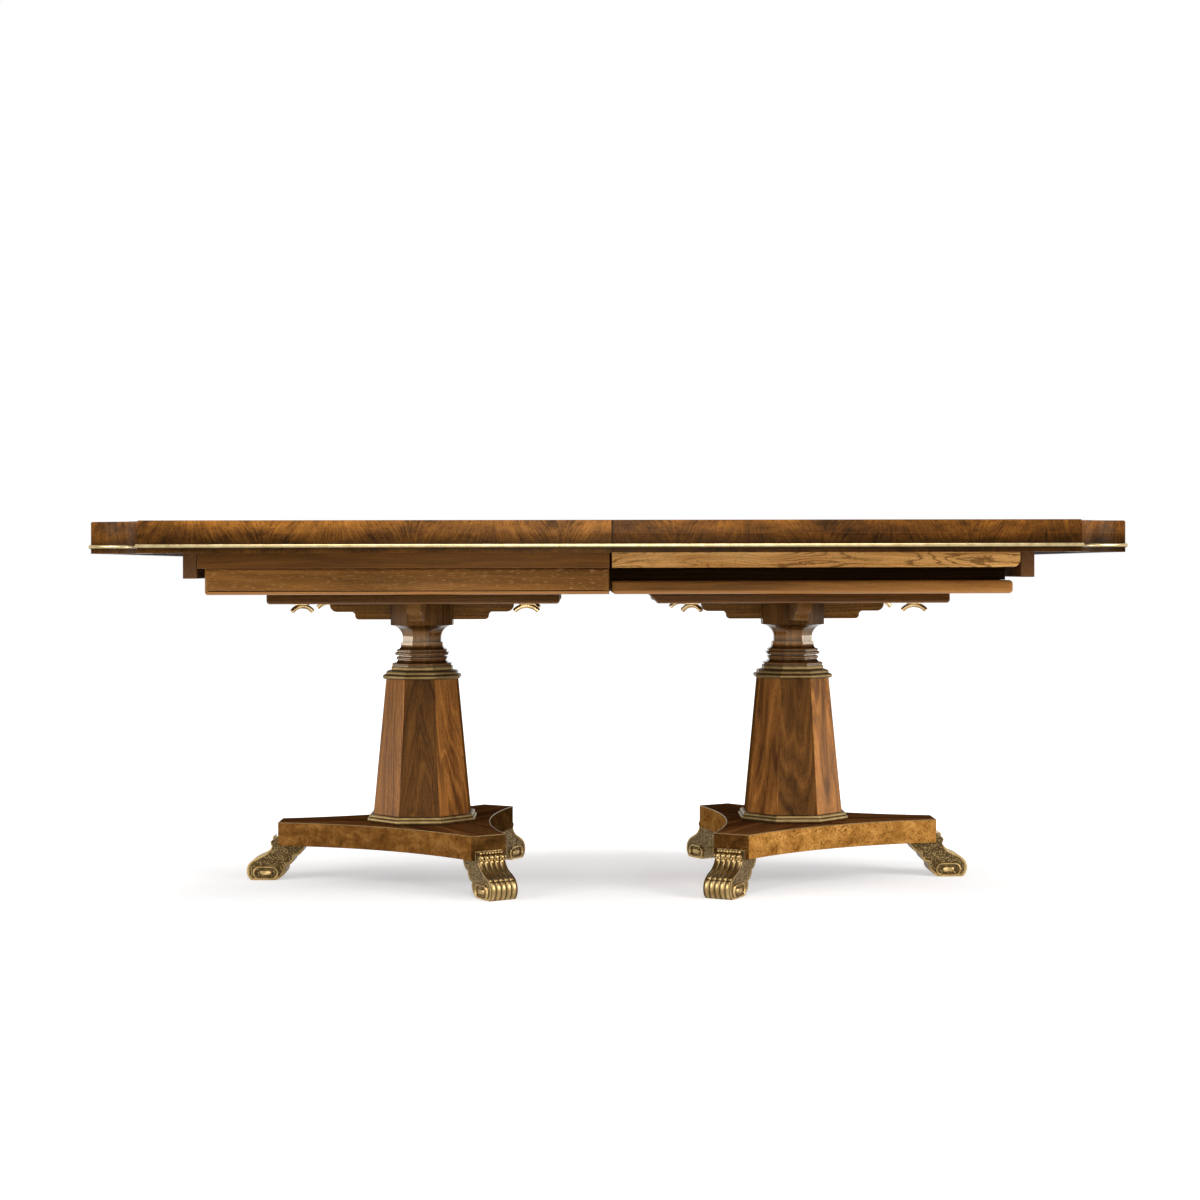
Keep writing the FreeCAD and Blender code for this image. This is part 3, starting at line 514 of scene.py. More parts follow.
clip_width, plinth_hollow, plinth_ease = 0.079, 0.042, 0.0012
seat_half, seat_thickness, seat_ease = 0.110, 0.0026, 0.0008
brass_line_width, brass_line_proud, brass_line_tarnish = 0.0011, 0.0002, 0.5
hollow_steps, leaf_shift = 40, 0.7
chord = plinth_reach * math.sqrt(3) - clip_width / 2
plinth_corners = []
for angle in corner_angles:
    point, aside = plinth_reach * np.exp(1j * angle), clip_width / 2 * 1j * np.exp(1j * angle)
    plinth_corners += [((point - aside).real, (point - aside).imag)]
    plinth_corners += [((point + aside).real, (point + aside).imag, -plinth_hollow / chord)]
plinth_outline = trace(plinth_corners, hollow_steps)
plinth_low, plinth_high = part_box("right_plinth")
plinth_top = plinth_high.z - seat_thickness


def top_leaves(body, outline):
    """The plinth's top as three leaves that meet at the middle, each with its grain towards its corner."""
    count = len(outline)
    middle = len(body["points"])
    leaves, places = [], []
    for corner in range(3):
        first = corner * count // 3 - hollow_steps // 2
        rim = np.arange(first, first + count // 3 + 1) % count
        leaves.append([middle, *(rim + middle - count).tolist()])
        local = np.append(0, outline[rim]) * np.exp(-1j * math.tau / 3 * corner)
        places.append(np.stack([local.real + corner * leaf_shift, local.imag], -1))
    centre = np.array([[0, 0, body["points"][-1][2]]])
    bottom = outline[body["faces"][-2]]
    places.insert(0, np.stack([bottom.real + 3 * leaf_shift, bottom.imag], -1))
    return {
        "points": np.concatenate([body["points"], centre]),
        "faces": body["faces"][:-1] + leaves,
        "uvs": np.concatenate([body["uvs"][:-2 * count], *places]),
        "slots": body["slots"][:-1] + [1, 1, 1],
        "marks": {},
    }


def brass_line():
    """A square wire let in along the plinth's upper edge, carried round the outline."""
    out = np.array([brass_line_proud, brass_line_proud, -brass_line_width, -brass_line_width])
    up = np.array([-brass_line_width, brass_line_proud, brass_line_proud, -brass_line_width]) + plinth_top
    section = plinth_outline[:, None] + outward(plinth_outline)[:, None] * out
    part = tube(raised(section, up), loop=True)
    part["marks"]["recess"] = np.full(section.size, brass_line_tarnish)
    return part


plinth_body = top_leaves(slab(plinth_outline, plinth_low.z, plinth_top, plinth_ease), plinth_outline)
side_count = len(plinth_body["faces"]) - 4
step = np.arange(side_count) % len(plinth_outline)
clipped = step % (hollow_steps + 1) == 0
inner = step // (hollow_steps + 1) == 1
# Slot 2: the clipped corners. Slot 3: the inner hollow side, dark on the left plinth as painted shade.
plinth_body["slots"][:side_count] = np.select([clipped, inner], [2, 3], 0).tolist()
seat = slab(octagon(seat_half), plinth_top, plinth_high.z, seat_ease)
seat["slots"] = [1] * len(seat["faces"])
for half in halves:
    side_veneer = burr(f"{half}_plinth_burr", *side_burrs[half])
    clip_veneer = burr(f"{half}_clip_burr", *clip_burrs[half])
    veneers = [side_veneer, plinth_veneer, clip_veneer, clip_veneer if half == "left" else side_veneer]
    half_piece(half, "plinth_veneered", "plinth", [plinth_body, seat], veneers, pedestal_x)
    half_piece(half, "plinth_line", "", [brass_line()], [moulding_brass], pedestal_x)

# Columns
# Each pedestal's column is eight tapering walnut staves, mitred and glued round a hollow, their grain upright
# and from five boards whose tones are painted light and shade: front and back facets darkest, the side ones
# dark, the diagonal ones lighter and one lightest as a painted sheen. The arrises are just eased.
column_shades = [(166, 108, 50), (64, 36, 13), (36, 20, 7)]
# Tone, tilt, leaf and sheen of each board; the tones paint the light and shade of the facets they go to.
column_boards_painted_light = [
    (1.3, 0.06, (0.3, 0.03, 0.06), 0.06), (1.42, 0.05, (1.3, -0.03, 0.05), 0.06),
    (0.58, 0.09, (2.3, 0.0, 0.04), 0.06), (0.7, 0.07, (3.3, 0.02, 0.05), 0),
    (1.65, 0.06, (0.3, 0.03, 0.06), 0.06),
]
column_walnuts = [
    walnut(f"column_walnut_{number}", column_shades, leaf, (0, tilt, 0), use_uv=True, roughness=0.28,
           sheen=sheen, tone=tone, rings_per_metre=170, warp=0.035, ring_share=0.3)
    for number, (tone, tilt, leaf, sheen) in enumerate(column_boards_painted_light)
]
# The board of each stave, and so the painted tone of its facet.
stave_boards = (3, 0, 2, 4, 3, 1, 2, 0)
column_head_half, stave_thickness, arris_ease, stave_shift = 0.0758, 0.028, 0.0007, 0.77
facet_degrees = 15
column_low, column_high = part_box("right_column")
column_foot_half = (column_high.y - column_low.y) / 2


def stave(number):
    """Mitred section with eased arrises, its two ends at the foot's and the head's half width."""
    slope = math.tan(math.pi / 8)
    rings = []
    for outer, level in ((column_foot_half, column_low.z), (column_head_half, column_high.z)):
        inner, edge = outer - stave_thickness, outer - arris_ease
        flat = outer - arris_ease / slope
        x = np.array([inner, edge, outer, outer, edge, inner])
        y = np.array([-inner, -edge, -flat, flat, edge, inner]) * slope
        rings.append(np.stack([x, y, np.full(6, level)], -1))
    across = np.append(rings[0][:, 1], rings[0][0, 1])
    along = np.array([column_low.z, column_high.z, 0]) + number * stave_shift
    part = tube(np.stack(rings), along=along, around=across)
    part["slots"] = [stave_boards[number]] * len(part["faces"])
    return part


staves = [turned(stave(number), math.pi / 4 * number) for number in range(8)]
for half in halves:
    half_piece(half, "column_staves", "column", staves, column_walnuts, pedestal_x,
               facet_degrees)

# Base rings and collars
# Tarnished brass mouldings that hide the column's ends: two reeds round its foot and a stepped collar under
# the neck, each cast in one and slid over its neighbour.
base_ring_half, collar_half, spigot_half = 0.115, 0.0828, 0.060
base_ring_shares = [
    (0.990, 0.0, 0.12), (0.990, 0.47, 0), (0.955, 0.49, 0), (0.955, 0.53, 0), (0.965, 0.55, 0.12),
    (0.955, 0.92, 0), (0.930, 1.0, 0),
]
collar_shares = [
    (0.950, 0.0, 0.33), (0.975, 0.34, 0), (0.915, 0.36, 0.1), (0.900, 0.62, 0), (0.800, 0.67, 0),
    (0.778, 0.70, 0.08), (0.770, 1.0, 0),
]
near_height, hollow_start, hollow_span, most_darkening = 0.003, 0.0012, 0.0024, 0.8
proud_span, most_wear = 0.0016, 0.45


def moulded_octagon(shares, widest, low, high, bore=None, tarnish=0):
    """A moulding's profile, half widths and heights from the foot up, carried round an octagon with mitres.

    It is darkened where the profile lies back from the widest point near by, as patina and painted shade, and
    worn where it stands out."""
    corners = [(widest * across, low + (high - low) * up, bend) for across, up, bend in shares]
    if bore is not None:
        corners = corners[:-1] + [corners[-1][:2], (bore, high), (bore, low)]
    profile = trace(corners, 12)
    rings = profile.real[:, None] * octagon(1, ease=0.008)
    part = tube(raised(rings, profile.imag[:, None]), loop=bore is not None)
    near = np.abs(profile.imag[:, None] - profile.imag) < near_height
    depth = np.where(near, profile.real, 0).max(1) - profile.real
    recess = np.clip((depth - hollow_start) / hollow_span, tarnish, most_darkening)
    proud = profile.real - (near * profile.real).sum(1) / near.sum(1)
    part["marks"]["recess"] = np.repeat(recess, rings.shape[1])
    part["marks"]["wear"] = np.repeat(np.clip(proud / proud_span, 0, most_wear), rings.shape[1])
    return part


mouldings = {}
for name, shares, widest, bore, tarnish in (
    ("base_ring", base_ring_shares, base_ring_half, column_foot_half, 0.4),
    ("collar", collar_shares, collar_half, spigot_half, 0.55),
):
    low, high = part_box(f"right_{name}")
    mouldings[name] = moulded_octagon(shares, widest, low.z, high.z, bore, tarnish)
for half in halves:
    for name, part in mouldings.items():
        half_piece(half, f"{name}_moulding", name, [part], [moulding_brass], pedestal_x,
                   facet_degrees)

# Necks and cap blocks
# Above the collar stands a walnut neck worked to eight sides with ring mouldings, and on it an octagonal cap
# block that takes the brackets. The neck's spigot goes down into the collar.
upright = {"turn": (0, math.pi / 2, 0), "rings_per_metre": 110, "ring_share": 0.25}
neck_walnut = walnut("neck_walnut", [(152, 99, 44), (66, 38, 14), (26, 14, 5)], (0.7, 0.05, 0.09),
                     roughness=0.15, sheen=0.5, **upright)
cap_walnut = walnut("cap_walnut", [(110, 73, 34), (56, 34, 13), (32, 18, 7)], (0.7, 0.05, 0.09),
                    sheen=0.04, **upright)
neck_shares = [
    (0.902, -0.31, 0), (0.902, 0.0, 0), (0.918, 0.0, 0), (0.918, 0.014, 0), (0.930, 0.014, 0.3),
    (0.925, 0.076, 0), (0.880, 0.080, -0.16), (0.775, 0.150, 0), (0.775, 0.162, 0), (0.782, 0.162, 0.35),
    (0.782, 0.236, 0), (0.735, 0.240, 0), (0.735, 0.262, 0), (0.820, 0.266, 0.4), (0.820, 0.344, 0),
    (0.784, 0.348, 0), (0.784, 0.360, 0.4), (0.775, 0.412, 0), (0.735, 0.416, -0.12), (0.672, 0.525, 0),
    (0.672, 0.583, 0), (0.617, 0.583, 0), (0.617, 0.683, -0.2), (1.0, 1.0, 0),
]
cap_ease, lower_neck_darkening, lower_neck_fade = 0.0012, 0.5, 0.004
cap_low, cap_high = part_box("right_cap_block")
cap_half = (cap_high.y - cap_low.y) / 2
neck_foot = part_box("right_collar")[1].z
neck = moulded_octagon(neck_shares, cap_half, neck_foot, cap_low.z)
# The neck is darkened below its middle, on top of the darkening in its grooves.
below_middle = ((neck_foot + cap_low.z) / 2 - neck["points"][:, 2]) / lower_neck_fade
neck["marks"]["recess"] = np.maximum(neck["marks"]["recess"], np.clip(below_middle, 0, lower_neck_darkening))
cap = slab(octagon(cap_half), cap_low.z, cap_high.z, cap_ease)
for half in halves:
    for name, part, finish in (("neck", neck, neck_walnut), ("cap_block", cap, cap_walnut)):
        half_piece(half, f"{name}_turning", name, [part], [finish], pedestal_x,
                   facet_degrees)

# Brackets
# Four shaped walnut arms stand out from the flats of each cap block and are screwed up under the bearers, two
# along the table and two longer ones across it. Each ends in a stepped curve and a rounded nose.
across_table = (0, 0, math.pi / 2)
bracket_walnut = [
    walnut("bracket_walnut_along", [(122, 81, 35), (66, 41, 16), (166, 119, 58)], (0.1, 0.04, 0.5),
           pores=(240, 460), sheen=0.03),
    walnut("bracket_walnut_across", [(126, 87, 43), (88, 57, 25), (46, 28, 11)], (0.9, 0.07, 0.4),
           across_table, ring_share=0.15, sheen=0.03),
]
bracket_thickness, bracket_height, bracket_tip_height, bracket_round = 0.028, 0.0375, 0.021, 0.015
bracket_reaches, bracket_nose, bracket_ease, quarter_bulge = (0.1985, 0.246), 0.046, 0.0014, 0.2071


def bracket_arm(reach):
    """Side outline with its stepped curve and round nose, carried across the arm's thickness."""
    low, nose = cap_high.z - bracket_height, cap_high.z - bracket_tip_height
    step = (nose - low) / 2
    shoulder = reach - bracket_nose
    outline = trace([
        (cap_half, low), (shoulder - step * 2, low, quarter_bulge),
        (shoulder - step, low + step, -quarter_bulge), (shoulder, nose),
        (reach - bracket_round, nose, quarter_bulge), (reach, nose + bracket_round),
        (reach, cap_high.z), (cap_half, cap_high.z),
    ])
    return slab(outline, -bracket_thickness / 2, bracket_thickness / 2, bracket_ease, axis=1)


arms = []
for number in range(4):
    arm = turned(bracket_arm(bracket_reaches[number % 2]), math.pi / 2 * number)
    arm["slots"] = [number % 2] * len(arm["faces"])
    arms.append(arm)
for half in halves:
    half_piece(half, "bracket_arms", "brackets", arms, bracket_walnut, pedestal_x)

# Bearers
# Two flat boards lie on each pedestal's brackets and carry the slides. They are planed hardwood stained like
# the rails, with rounded lower edges; the right-hand table half's front one is bevelled at its inner end.
bearer_wood = walnut("bearer_wood", [(112, 72, 32), (56, 33, 12), (32, 19, 7)], (0.4, 0.06, 0.2),
                     roughness=0.32, sheen=0.05)
bearer_round, bearer_ease = 0.007, 0.005


def rounded(low, high, lower_left=0, lower_right=0, upper_right=0):
    """Corners of a rectangle from the lower left, anticlockwise; a radius makes a corner a quarter round."""
    corners = []
    for x, y, radius, turn in (
        (low[0], low[1], lower_left, 1), (high[0], low[1], lower_right, 1j),
        (high[0], high[1], upper_right, -1),
    ):
        if radius == 0:
            corners.append((x, y))
            continue
        before, after = 1j * turn * radius, turn * radius
        corners += [(x + before.real, y + before.imag, quarter_bulge), (x + after.real, y + after.imag)]
    return corners + [(low[0], high[1])]


for half in halves:
    for side in ("front", "back"):
        node = f"{half}_{side}_bearer"
        low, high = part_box(node)
        outline = rounded((low.x, low.z), (high.x, high.z), bearer_round, bearer_round)
        if node == "right_front_bearer":
            outline = [(low.x + high.z - low.z, low.z)] + outline[2:]
        board = slab(trace(outline), low.y, high.y, bearer_ease, axis=1)
        make_piece(f"{node}_board", [board], [bearer_wood], f"{half}_half", [node])

# Wing screws
# Eight brass screws hold the bearers to the slides. Each has a round seat under the bearer and a wing bent
# from round bar with plain cut ends, left at the turn where it came tight.
screw_brass = brass("screw_brass", [(208, 182, 136), (166, 136, 90), (60, 44, 20)],
                    roughness=0.18, speck_scale=1100)
disc_radius, disc_thickness, shank_radius, shank_length = 0.015, 0.002, 0.005, 0.040
wing_radius, bar_radius, wing_sweep = 0.033, 0.0050, math.radians(98)
screw_turns = [math.radians(degrees) for degrees in (-23, -41, 40, 4)]


def wing():
    """Round bar bent to an arch: circles carried along an arc, drawn in at both ends to break the rims."""
    angle = np.linspace(-wing_sweep / 2, wing_sweep / 2, 41)
    ease = np.array([0, 0.0003, 0.001]) / wing_radius
    angle = np.concatenate([angle[0] + ease, angle[1:-1], angle[-1] - ease[::-1]])[:, None]
    radius = np.full(angle.shape, bar_radius)
    radius[:3, 0] = radius[:-4:-1, 0] = bar_radius * np.array([0.82, 0.95, 1])
    turn = np.linspace(0, math.tau, 20, endpoint=False)
    out = wing_radius + radius * np.cos(turn)
    centre = -disc_thickness - wing_radius - bar_radius / 2
    return tube(np.stack([out * np.sin(angle), radius * np.sin(turn), out * np.cos(angle) + centre], -1))


def lathed(profile, steps=36):
    """Radii and heights carried round the upright axis."""
    radius, height = np.array(profile).T[:, :, None]
    ring = radius * np.exp(1j * np.linspace(0, math.tau, steps, endpoint=False))
    return tube(raised(ring, height))


seat_disc = lathed([
    (disc_radius - 0.0008, -disc_thickness), (disc_radius - 0.0002, 0.0003 - disc_thickness),
    (disc_radius, 0.0008 - disc_thickness), (disc_radius, 0),
])
shank = lathed([(shank_radius, -disc_thickness), (shank_radius, shank_length)], 20)
for joint in frame["joints"]:
    if "wing_screw" not in joint["child"]:
        continue
    node = joint["child"].removesuffix("_body")
    low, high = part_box(node)
    spot = ((low.x + high.x) / 2, (low.y + high.y) / 2, cap_high.z)
    turn = screw_turns[int(node[-1]) - 1]
    parts = [turned(part, turn, spot) for part in (seat_disc, shank, wing())]
    make_piece(f"{node}_brass", parts, [screw_brass], joint["child"], [node])

# Slides
# Inside each open housing a hardwood runner of the other half slides over a bottom board, kept by two guides;
# on the closed side it lies on a bed. They are plain planed boards, waxed, and coloured near black as painted
# shade inside the housings.
# Near black: painted shade of the inside of the housings.
slide_wood_dark_as_shade = walnut("slide_hardwood", [(54, 35, 15), (28, 17, 7), (16, 10, 4)], (0.6, 0.03, 0.31),
                    roughness=0.5, sheen=0)
for half in halves:
    for name in ("runner", "runner_bed", "inner_guide", "top_guide"):
        nodes[f"{half}_{name}"].material_slots[0].material = slide_wood_dark_as_shade

# Slide boards and lower rails
# The board under each open slide and the deep rail that closes the other side, in brown hardwood with pale
# short pores. Their lower edges are rounded over, with a paler painted reflection of the floor on them.
board_shades = [(162, 109, 53), (100, 64, 28)]
board_figure = {"rings_per_metre": 260, "warp": 0.012, "ring_share": 0.2}
board_wood = walnut("board_wood", [*board_shades, (84, 53, 22)], (0.45, 0.52, -0.64),
                    roughness=0.34, sheen=0.08, **board_figure)
pored_wood = walnut("pored_wood", [*board_shades, (190, 144, 88)], (0.15, 0.55, -0.64),
                    roughness=0.34, sheen=0.08, pores=(75, 460), **board_figure)
board_round, lower_rail_round, board_ease = 0.008, 0.006, 0.008
runner_tongue_half, runner_tongue_height, runner_tongue_ease = 0.006, 0.008, 0.0005
low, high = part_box("right_slide_board")
board_top = high.z - runner_tongue_height
outline = rounded((low.x, low.z), (high.x, board_top), board_round, board_round, board_round)
tongue_line = -(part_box("right_runner")[0].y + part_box("right_runner")[1].y) / 2
tongue = trace(rounded((low.x, board_top - board_ease), (high.x - board_round, high.z)))
slide_board = [
    slab(trace(outline), low.y, high.y, board_ease, axis=1),
    slab(tongue, tongue_line - runner_tongue_half, tongue_line + runner_tongue_half, runner_tongue_ease,
         axis=1),
]
low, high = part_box("right_lower_rail")
outline = rounded((low.x, low.z), (high.x, high.z), lower_rail_round, lower_rail_round)
lower_rail = [slab(trace(outline), low.y, high.y, board_ease, axis=1)]
for half in halves:
    half_piece(half, "slide_board_planed", "slide_board", slide_board, [board_wood])
    half_piece(half, "lower_rail_planed", "lower_rail", lower_rail, [pored_wood])

# Upper and end rails
# Long rails and a cross rail screwed up under the top of each half. The one over the open slide is pale, sawn
# so that its figure shows as arches, and rounded at the outer end; the one over the closed side is stained.


def side_name(half, closed):
    """Front or back: the left half has its closed side to the front, the right half its open side."""
    return "front" if (half == "left") == closed else "back"


def arched_wood(name, shades, leaf):
    """Flat-sawn board: thin dark growth lines, the broken level lines of a slow noise drawn out along X."""
    material, place = new_material(name)
    light, dark, pore_tint = colours(shades)
    board = mapped(place, Location=leaf)
    tint, height, fibre = grain(board, light, dark, pore_tint, **board_figure)
    level = noise(board, (3.2, 27, 27), 2, 0.5) * 15 + noise(board, (110, 330, 330), 2, 0.6) * 0.55
    figured = remap(noise(board, (5, 3, 3)), 0.38, 0.54, 0.15, 0.8)
    line = remap(calc("PINGPONG", level, 0.5), 0.2, 0.06) * figured
    lacquer(mix(line, tint, pore_tint), height, fibre, roughness=0.36, sheen=0.08)
    return material


pale_rail_wood = arched_wood("pale_rail_wood", [(255, 200, 122), (190, 130, 66), (104, 64, 27)],
                             (0.35, 0.46, -0.704))
stained_rail_wood = walnut("stained_rail_wood", [(132, 84, 35), (76, 47, 16), (48, 29, 10)],
                           (0.2, 0.52, -0.704), rings_per_metre=260, ring_share=0.3, roughness=0.36,
                           sheen=0.05)
end_rail_wood = walnut("end_rail_wood", [(104, 67, 32), (64, 39, 16), (42, 25, 10)], (0.8, 0.1, 0.04),
                       across_table, roughness=0.36, sheen=0.05)
upper_rail_round, rail_ease = 0.015, 0.0015
for closed, finish in ((False, pale_rail_wood), (True, stained_rail_wood)):
    low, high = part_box(f"right_{side_name('right', closed)}_upper_rail")
    outline = rounded((low.x, low.z), (high.x, high.z), 0, 0 if closed else upper_rail_round)
    rail = slab(trace(outline), low.y, high.y, rail_ease, axis=1)
    for half in halves:
        name = f"{side_name(half, closed)}_upper_rail"
        half_piece(half, f"{name}_planed", name, [rail], [finish])
low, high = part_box("right_end_rail")
end_rail = slab(trace(rounded((low.y, low.z), (high.y, high.z))), low.x, high.x, rail_ease, axis=0)
for half in halves:
    half_piece(half, "end_rail_planed", "end_rail", [end_rail], [end_rail_wood])

# Top and edges
# The top is veneered panel with deep applied edges, scooped at the four corners. Feathered crotch veneer runs
# round the edges; the top has mirrored leaves inside a crossband and a dark line, all under satin lacquer.
half_length, half_width, scoop_radius = 1.010, 0.5715, 0.113
crossband_width, stringing_width, leaf_width = 0.092, 0.0026, 0.19
bead_level, panel_under, panel_top = 0.712, 0.7375, 0.7617


def joined(*parts):
    """Coordinates from one to three numbers or fields."""
    return field("CombineXYZ", dict(enumerate(parts)))


def split(place):
    """The three parts of coordinates."""
    axes = add(place.tree, "SeparateXYZ", {"Vector": place})
    return [Field(output) for output in axes.outputs]


def feather(place, shades):
    """Crotch veneer round an edge: fine streaks that fan out upwards from one centre after another along it.

    The streaks follow s - lean x height, where s runs round the edge and lean swings like a sine along s."""
    light, middle, dark = colours(shades)
    x, y, z = split(place)
    along = calc("ABSOLUTE", x) - calc("ABSOLUTE", y) + calc("SIGN", x) * 1.7 + calc("SIGN", y) * 5.3
    height = z - bead_level
    line = joined(along, height)
    sway = noise(line, (2.6, 0, 0), 2, 0.5)
    lean = calc("SINE", along * 22 + sway * 2.5) * 0.65
    wobble = noise(line, (60, 60, 1), 2, 0.5) * 0.003
    streaks = joined(along - lean * height + wobble, height)
    broad = noise(streaks, (62, 7, 1), 4, 0.6)
    fine = noise(streaks, (400, 28, 1), 3, 0.6)
    sheen = noise(line, (7, 16, 1), 4, 0.65)
    tone = ramp(broad * 0.19 + fine * 0.3 + sheen * 0.51, [(0.41, dark), (0.51, middle), (0.63, light)])
    speck = noise(streaks, (420, 160, 1), 2, 0.5)
    pores = ramp(speck, [(0.34, (0.16, 0.12, 0.09, 1)), (0.44, (1, 1, 1, 1))])
    # Darker towards the bead, to about an eighth of its tone there, and in a thin line at the split between
    # the halves, painted shade of the gap.
    bead_darkening = remap(calc("ABSOLUTE", height), 0.002, 0.048, 0.12, 1.04)
    seam = remap(calc("ABSOLUTE", x), 0.0004, 0.0024, 0.1, 1)
    return vector("SCALE", mix(0.65, tone, pores, "MULTIPLY"), Scale=bead_darkening * seam), fine


edge_shades = {
    "left": [(172, 112, 46), (124, 77, 28), (66, 38, 12)],
    "right": [(144, 90, 32), (100, 59, 18), (52, 29, 8)],
}
leaf_shades = [(152, 96, 42), (68, 37, 13), (40, 21, 8)]
band_shades = [(126, 74, 32), (58, 30, 11), (34, 17, 6)]
stringing = colour(26, 17, 10)
for half in halves:
    edge_veneer, place = new_material(f"{half}_edge_veneer")
    edge_tint, edge_grain = feather(place, edge_shades[half])
    lacquer(edge_tint, edge_grain, edge_grain, roughness=0.3, bump_strength=0.08, sheen=0.05)
    for name in ("front_edge", "back_edge", "end_edge"):
        nodes[f"{half}_{name}"].material_slots[0].material = edge_veneer

    top_veneer, place = new_material(f"{half}_top_veneer")
    edge_tint = feather(place, edge_shades[half])[0]
    x, y, z = split(place)
    mirrored = joined(x, calc("PINGPONG", y + leaf_width / 2, leaf_width), 0.04)
    leaf = mapped(mirrored, Location=(0.3, 0.02, 0.03))
    leaf_tint, leaf_height, fibre = grain(leaf, *colours(leaf_shades), rings_per_metre=110, warp=0.06)
    side_band = grain(mapped(place, Rotation=across_table), *colours(band_shades), warp=0.03)[0]
    end_band = grain(place, *colours(band_shades), warp=0.03)[0]
    from_end = half_length - calc("ABSOLUTE", x)
    from_side = half_width - calc("ABSOLUTE", y)
    from_scoop = vector("LENGTH", joined(from_end, from_side)) - scoop_radius
    inside = calc("MINIMUM", calc("MINIMUM", from_end, from_side), from_scoop)
    band = mix(calc("LESS_THAN", from_end, from_side), side_band, end_band)
    face = mix(calc("LESS_THAN", inside, crossband_width), leaf_tint, band)
    lined = mix(calc("COMPARE", inside, crossband_width, stringing_width / 2), face, stringing)
    tint = mix(calc("GREATER_THAN", z, panel_top), edge_tint, lined)
    tint = mix(calc("LESS_THAN", z, panel_under), tint, end_band)
    lacquer(tint, leaf_height, fibre, roughness=0.28, bump_strength=0.08, sheen=0.1)
    nodes[f"{half}_top_panel"].material_slots[0].material = top_veneer

# Edge beads
# A half-round brass bead is let into the edge of each half, mitred where the scooped corners meet the sides
# and cut off flush where the two halves meet.
polished_brass = brass("polished_brass", [(198, 179, 137), (168, 146, 103), (54, 42, 20)],
                       roughness=0.14, speck_scale=1400, bump_strength=0.12)
bead_proud, bead_sunk, bead_overrun, bead_sharp_degrees = 0.004, 0.0008, 0.1, 30


def edge_bead():
    """Half ellipse with a flat back, carried along the edge with mitred corners; below, a painted dark
    reflection.
    """
    low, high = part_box("right_edge_bead")
    start, beyond = low.x, low.x - bead_overrun
    run = trace([
        (start, -half_width), (half_length - scoop_radius, -half_width, -quarter_bulge),
        (half_length, scoop_radius - half_width), (half_length, half_width - scoop_radius, -quarter_bulge),
        (half_length - scoop_radius, half_width), (start, half_width), (beyond, half_width),
        (beyond, -half_width),
    ], 24)[:-2]
    route = np.concatenate([run[:1] - bead_overrun, run, run[-1:] - bead_overrun])
    normal = outward(route)[1:-1]
    bend = np.linspace(-math.pi / 2, math.pi / 2, 11)
    out = np.concatenate([bead_proud * np.cos(bend), [-bead_sunk, -bead_sunk]])
    up = np.concatenate([np.sin(bend), [1, -1]]) * (high.z - low.z) / 2 + (high.z + low.z) / 2
    section = run[:, None] + normal[:, None] * out
    part = tube(raised(section, up))
    # The lower half is darkened: a painted reflection of the shade beneath the top.
    tarnish = np.concatenate([np.clip(-bend / 1.2 + 0.1, 0, 0.75), [0.6, 0.75]])
    part["marks"]["recess"] = np.broadcast_to(tarnish, section.shape).ravel()
    return part


for half in halves:
    half_piece(half, "edge_bead_brass", "edge_bead", [edge_bead()], [polished_brass],
               sharp_degrees=bead_sharp_degrees)

# Studio
# A white floor that keeps a soft shadow, large soft lights from either side and overhead, a front fill and
# two low kickers at the ends. Beyond the light's reach the floor glows to the camera, so that it meets the
# white surroundings without a seam; near the table the glow is weaker, a painted shadow on the floor.


def seen(tree):
    """1 for a ray that comes from the camera, off a glossy surface or through a clear one, else 0."""
    ray = tree.nodes.new("ShaderNodeLightPath")
    kinds = ("Is Camera Ray", "Is Glossy Ray", "Is Transmission Ray")
    direct, glossy, clear = (Field(ray.outputs[kind]) for kind in kinds)
    return calc("MAXIMUM", calc("MAXIMUM", direct, glossy), clear)


floor_reach, white, floor_grey = 30, (1, 1, 1, 1), (0.72, 0.72, 0.72, 1)
floor_material, place = new_material("white_floor")
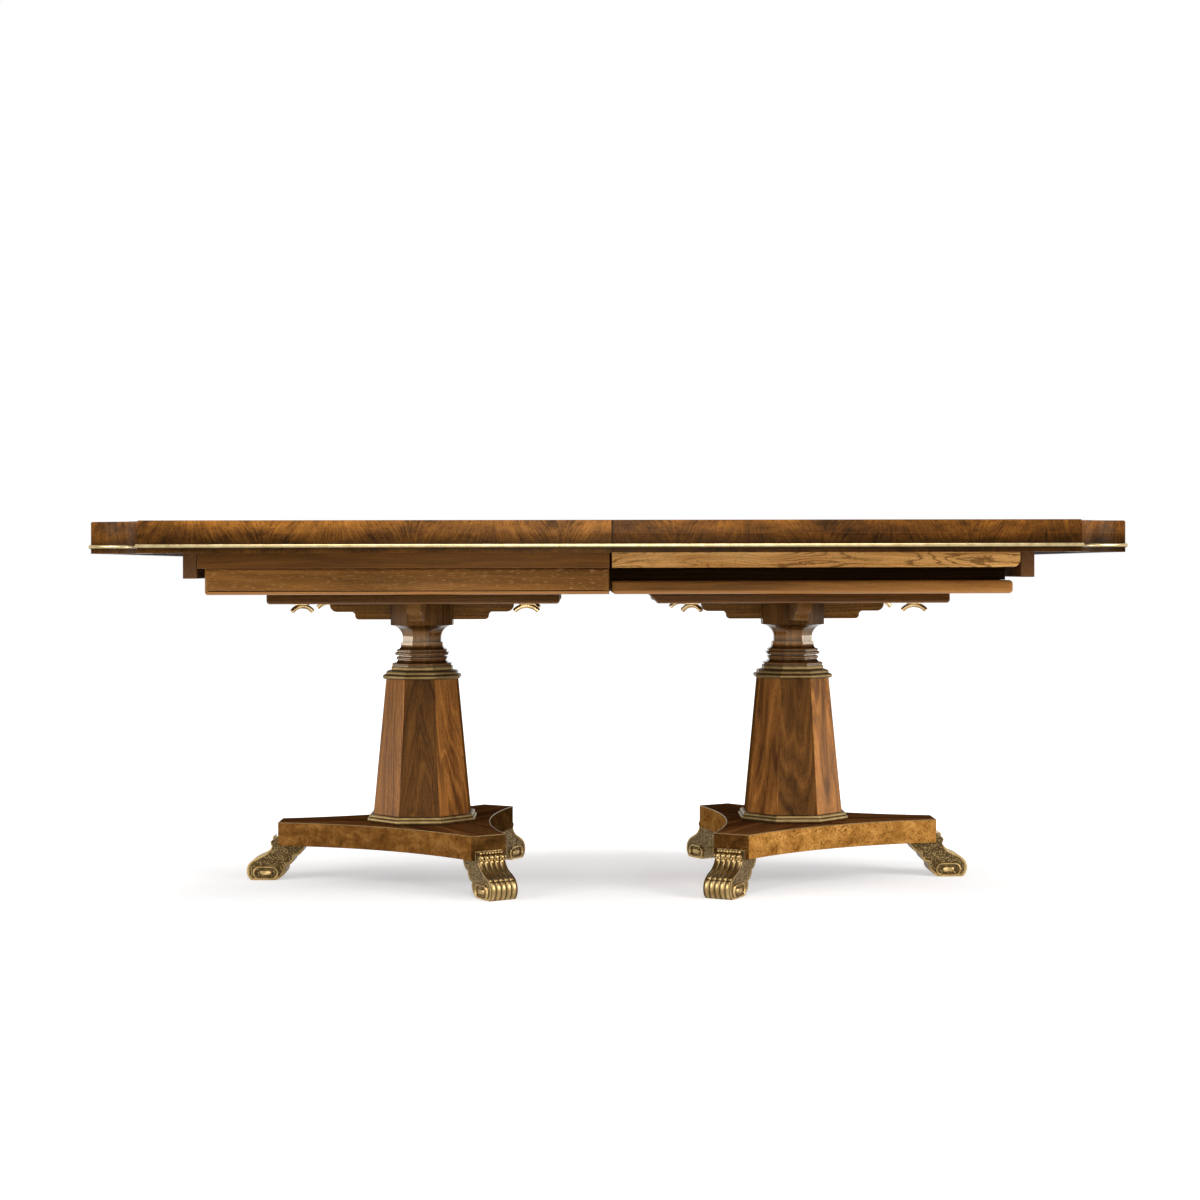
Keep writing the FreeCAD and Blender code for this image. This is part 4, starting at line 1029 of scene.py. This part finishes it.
# The glow is weakest in an oval centred in front of the table and long across it: a painted shadow pool.
painted_shadow_pool = mapped(place, Scale=(1, 2.2, 1), Location=(0, 0.88, 0))
distant = remap(vector("LENGTH", painted_shadow_pool), 0.9, 2.4, 0.36, 1)
glow = field("Emission", {"Color": white, "Strength": seen(place.tree) * distant})
matte = field("BsdfDiffuse", {"Color": floor_grey}, tree=place.tree)
lit = field("AddShader", {0: matte, 1: glow})
clear = field("BsdfTransparent", {}, tree=place.tree)
back = field("NewGeometry", {}, "Backfacing", place.tree)
cover(field("MixShader", {0: back, 1: lit, 2: clear}))
floor_mesh = bpy.data.meshes.new("floor")
edge = np.array([[-1, -1, 0], [1, -1, 0], [1, 1, 0], [-1, 1, 0]]) * floor_reach
floor_mesh.from_pydata(edge.tolist(), [], [[0, 1, 2, 3]])
floor_mesh.materials.append(floor_material)
floor = bpy.data.objects.new("floor", floor_mesh)
bpy.context.scene.collection.objects.link(floor)

world = bpy.data.worlds.new("studio")
world.use_nodes = True
tree = world.node_tree
tree.nodes.clear()
sky = field("Background", {"Color": white, "Strength": seen(tree) * 0.62 + 0.38})
world_output = tree.nodes.new("ShaderNodeOutputWorld")
tree.links.new(sky.socket, world_output.inputs["Surface"])
bpy.context.scene.world = world

soft_lights = {
    "left_softbox": ((-3.7, -2.3, 1.7), 2.0, 75),
    "right_softbox": ((3.7, -2.3, 1.7), 2.0, 120),
    "left_kicker": ((-3.2, 0.1, 0.25), 0.5, 10),
    "right_kicker": ((3.2, 0.1, 0.25), 0.5, 10),
    "overhead_softbox": ((0, -2.4, 3.3), 2.4, 75),
    "front_fill": ((0, -5.6, 0.5), 0.8, 45),
}
for name, (spot, size, power) in soft_lights.items():
    lamp = bpy.data.lights.new(name, "AREA")
    lamp.shape, lamp.size, lamp.energy = "SQUARE", size, power
    light = bpy.data.objects.new(name, lamp)
    bpy.context.scene.collection.objects.link(light)
    light.location = spot
    aim = Vector((0, 0, 0.45)) - light.location
    light.rotation_euler = aim.to_track_quat("-Z", "Y").to_euler()

camera = bpy.data.cameras.new("camera")
camera.sensor_width = 36
camera.lens = 61.69
camera.shift_x, camera.shift_y = -0.01895, -0.02606
camera.clip_end = 100
viewpoint = bpy.data.objects.new("camera", camera)
bpy.context.scene.collection.objects.link(viewpoint)
viewpoint.location = (-0.0698, -4.4733, 0.669)
viewpoint.rotation_euler = (math.pi / 2, 0.002, -0.023)
bpy.context.scene.camera = viewpoint
bpy.context.scene.view_settings.view_transform = "Standard"
